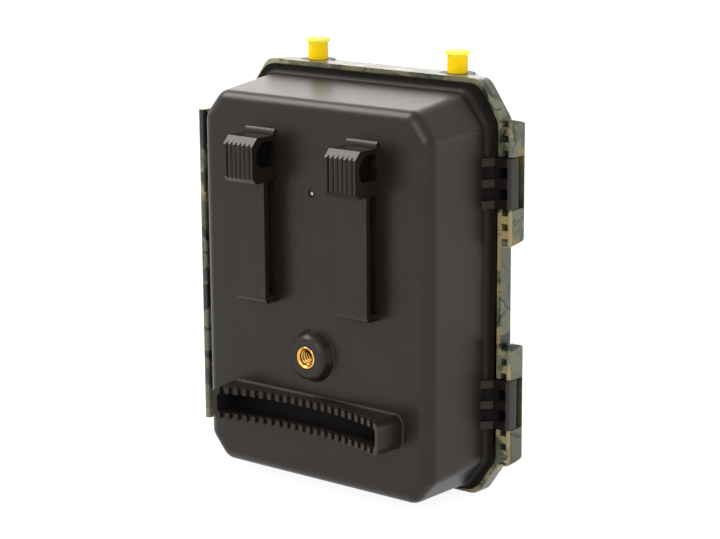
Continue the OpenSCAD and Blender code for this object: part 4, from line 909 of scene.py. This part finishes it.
for i in range(-2, 3):
    for j in range(-2, 3):
        if math.hypot(i, j) < 2.5:
            x, z = i * FACET, j * FACET
            out = Vector((x, -math.sqrt(DOME_R ** 2 - x ** 2 - z ** 2), z))
            facet_spots.append(PIR + (out - Vector((0, DOME_MID, 0))) * MM)
            facet_turns.append(tuple(out.to_track_quat("Z", "Y").to_euler()))
planted("sensor_mosaic", meshed("facet", facet, dome_white), facet_spots, facet_turns, dome_white, "pir_dome",
        smooth=40)
sensor_metal = brushed("sensor_metal", (0.55, 0.55, 0.52), 0.3)
for node in ("pir_sensor", "modem_module", "switch_body", "sd_socket", "sim_socket", "microphone"):
    dressed(node, sensor_metal, 0.12)

# ------------------------------------------------
# Display. A glossy cover glass over a liquid-crystal cell that is switched off:
# a black printed rim around a blue-grey active area.
screen_black = material("screen_black", (0.008, 0.009, 0.011), 0.05, IOR=1.5, Coat_Weight=0.6)
screen_low, screen_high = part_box("screen")
screen_mid = (screen_low + screen_high) / 2
viewed = rectangle(screen_black, (screen_mid.x, 22.8 * MM, 22.7 * MM), (screen_mid.z, 17.1 * MM, 17.0 * MM))
cell_tint = worn(noise(screen_black, 60.0, 7.0), (0.45, 0.75, 0.03, 0.12),
                 (0.3, (0.018, 0.024, 0.032)), (0.7, (0.028, 0.036, 0.046)))
wire(mixed(viewed, (0.006, 0.006, 0.007), cell_tint), "Base Color")
dressed("screen", screen_black, 0.15)

# ------------------------------------------------
# Inner panel and speaker. A dark grey textured ABS plate with openings for the
# display, keys, switch and cards; the paper cone sits behind its round holes.
panel_plastic = material("panel_plastic", (0.030, 0.030, 0.033), 0.42, IOR=1.45)
panel_tone = worn(noise(panel_plastic, 55.0, 9.0, Roughness=0.7), (0.3, 0.7, 0.34, 0.5),
                  (0.35, (0.024, 0.024, 0.026)), (0.7, (0.038, 0.038, 0.041)))
wire(dusted(panel_tone, 6, 0.035, 0.3, (0.2, 0.2, 0.19)), "Base Color")
grain(panel_plastic, 0.7, 0.07, 0.4)
dressed("inner_panel", panel_plastic, 0.2)
cone_low, cone_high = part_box("speaker")
cone_spot = Vector(((cone_low.x + cone_high.x) / 2, cone_low.y, (cone_low.z + cone_high.z) / 2))
cone_r = (cone_high.x - cone_low.x) / 2 / MM
front = (cone_high.y - cone_low.y) / MM
roll = [(front - 0.4 + 0.3 * math.sin(math.pi * k / 6), cone_r - 0.6 - 1.6 * k / 6) for k in range(7)]
fitted(turned("speaker_cone", [
    (0, 0), (0, cone_r * 0.8), (0.8, cone_r), (front, cone_r), (front, cone_r - 0.5), *roll,
    (front - 1.6, 3.2), (front - 1.0, 2.4), (front - 0.7, 1.2), (front - 0.6, 0)],
    cone_spot, "+Y", speaker_black, 48), "speaker")

# ------------------------------------------------
# Keys and mode switch. Light grey moulded buttons with printed marks that any
# camera has, and a sliding knob with three grip ribs.
key_grey = material("key_grey", (0.46, 0.46, 0.45), 0.36, IOR=1.46)
worn(noise(key_grey, 300.0, 6.0), (0.3, 0.7, 0.28, 0.44),
     (0.35, (0.40, 0.40, 0.385)), (0.65, (0.50, 0.50, 0.49)))
grain(key_grey, 0.6, 0.03, 0.3)
mark_ink = material("mark_ink", (0.02, 0.02, 0.022), 0.5)
grain(mark_ink, 0.3, 0.01, 0.3)
INK_SUNK, INK_PROUD = -0.1, 0.03
ARROW = ((-1.5, -0.9), (1.5, -0.9), (0, 1.3))
BAR = ((-1.7, -0.28), (1.7, -0.28), (1.7, 0.28), (-1.7, 0.28))
DISC = [(1.1 * math.cos(math.radians(a)), 1.1 * math.sin(math.radians(a))) for a in range(0, 360, 20)]
key_marks = {"menu_key": ((BAR, 0, 1.1), (BAR, 0, 0), (BAR, 0, -1.1)), "ok_key": ((DISC, 0, 0),),
             "up_key": ((ARROW, 0, 0),), "down_key": ((ARROW, 180, 0),),
             "left_key": ((ARROW, -90, 0),), "right_key": ((ARROW, 90, 0),)}
for node, marks in key_marks.items():
    dressed(node, key_grey, 0.45, only=60)
    key_low, key_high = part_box(node)
    key_face = Vector(((key_low.x + key_high.x) / 2, key_high.y, (key_low.z + key_high.z) / 2))
    ink = bmesh.new()
    for outline, angle, lift in marks:
        turn = Matrix.Rotation(math.radians(angle), 2)
        flat = [turn @ Vector(spot) + Vector((0, lift)) for spot in outline]
        sunk, top = ([ink.verts.new(key_face + Vector((-spot.x, up, spot.y)) * MM) for spot in flat]
                     for up in (INK_SUNK, INK_PROUD))
        ink.faces.new(top)
        ink.faces.new(sunk[::-1])
        for k in range(len(flat)):
            ink.faces.new((sunk[k - 1], sunk[k], top[k], top[k - 1]))
    fitted(meshed(node + "_mark", ink, mark_ink), node)
dressed("mode_switch", key_grey, 0.3)
switch_low, switch_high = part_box("mode_switch")
switch_mid = (switch_low + switch_high) / 2
ribs = tree_of("ribs", Width=0.0004, Length=0.003, Height=0.0003)
rib_size = add(ribs, "ShaderNodeCombineXYZ", {
    "X": ribs.outputs["Width"], "Y": ribs.outputs["Length"], "Z": ribs.outputs["Height"]})
set_out(ribs, add(ribs, "GeometryNodeMeshCube", {"Size": rib_size.outputs[0]}).outputs[0])
RIB_PITCH, RIB_LIFT = 1.1 * MM, 0.05 * MM
rib_spots = [(switch_mid.x + k * RIB_PITCH, switch_high.y + RIB_LIFT, switch_mid.z) for k in (-1, 0, 1)]
fitted(grown("switch_ribs", ribs, rib_spots, ["+Y"] * 3, key_grey, Width=0.0004, Length=0.003,
             Height=0.0004), "mode_switch")

# ------------------------------------------------
# Memory and phone cards. Plain moulded cards, one dark blue and one white,
# with a paler label field and gilt contact pads along the upper edge.
for finish, node, body_tone, field_tone in (
        ("card_blue", "sd_card", (0.012, 0.022, 0.075), (0.05, 0.08, 0.2)),
        ("card_white", "sim_card", (0.62, 0.62, 0.59), (0.74, 0.74, 0.72))):
    card = material(finish, body_tone, 0.35)
    low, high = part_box(node)
    mid = (low + high) / 2
    half = (high - low) / 2
    field = rectangle(card, (mid.x, half.x * 0.82, half.x * 0.8),
                      (mid.z + 0.15 * half.z, half.z * 0.62, half.z * 0.6))
    pad_wave = calc("SINE", calc("MULTIPLY", axis_of(card, "X"), 2500.0))
    at_edge = stepped(axis_of(card, "Z"), high.z - 4.8 * MM, high.z - 4.9 * MM, 1.0, 0.0)
    gilt = calc("MULTIPLY", stepped(pad_wave, -0.3, -0.1), at_edge)
    wire(mixed(gilt, mixed(field, body_tone, field_tone), (0.75, 0.55, 0.22)), "Base Color")
    wire(gilt, "Metallic")
    grain(card, 0.5, 0.03, 0.3)
    dressed(node, card, 0.15)

# ------------------------------------------------
# Antenna jacks. Gold-plated turned bodies with a fine outside thread, a white
# insulator and a centre pin; hexagon nuts hold them from inside the shell.
JACK_OUT = 32.3 * MM
jack_gold = brushed("jack_gold", (0.88, 0.64, 0.25), 0.2)
insulator_white = material("insulator_white", (0.82, 0.82, 0.80), 0.4)
grain(insulator_white, 0.3, 0.02, 0.3)
for side, node in ((1, "antenna_jack_left"), (-1, "antenna_jack_right")):
    low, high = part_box(node)
    mouth = Vector((side * JACK_OUT, 0, high.z))
    tail = (low.z - high.z) / MM
    fitted(turned(node + "_body", [
        (tail, 0), (tail, 1.7), (tail + 4, 1.7), (tail + 4, 3.3), (-6.4, 3.3), (-6.4, 2.85), (-0.3, 2.85),
        (0, 2.7), (0, 2.45), (-0.3, 2.3), (-4, 2.3), (-4, 0)], mouth, "+Z", jack_gold, 48), node)
    fitted(grown(node + "_thread", coil, [mouth - Vector((0, 0, 6 * MM))], ["+Z"], jack_gold, smooth=20,
                 Turns=8.0, Start_Radius=0.00288, End_Radius=0.00288, Height=0.0055, Wire=0.00021,
                 Steps=36, Sides=4), node)
    fitted(turned(node + "_insulator", [
        (-4.1, 0), (-4.1, 2.25), (-1.2, 2.25), (-1.2, 0.8), (-2, 0.8), (-2, 0)],
        mouth, "+Z", insulator_white, 36), node)
    fitted(turned(node + "_pin", [
        (-2.4, 0), (-2.4, 0.6), (-1.2, 0.6), (-1, 0.5), (-1, 0.3), (-1.8, 0.25), (-1.8, 0)],
        mouth, "+Z", jack_gold, 24), node)
dressed("jack_nuts", jack_gold, 0.15)
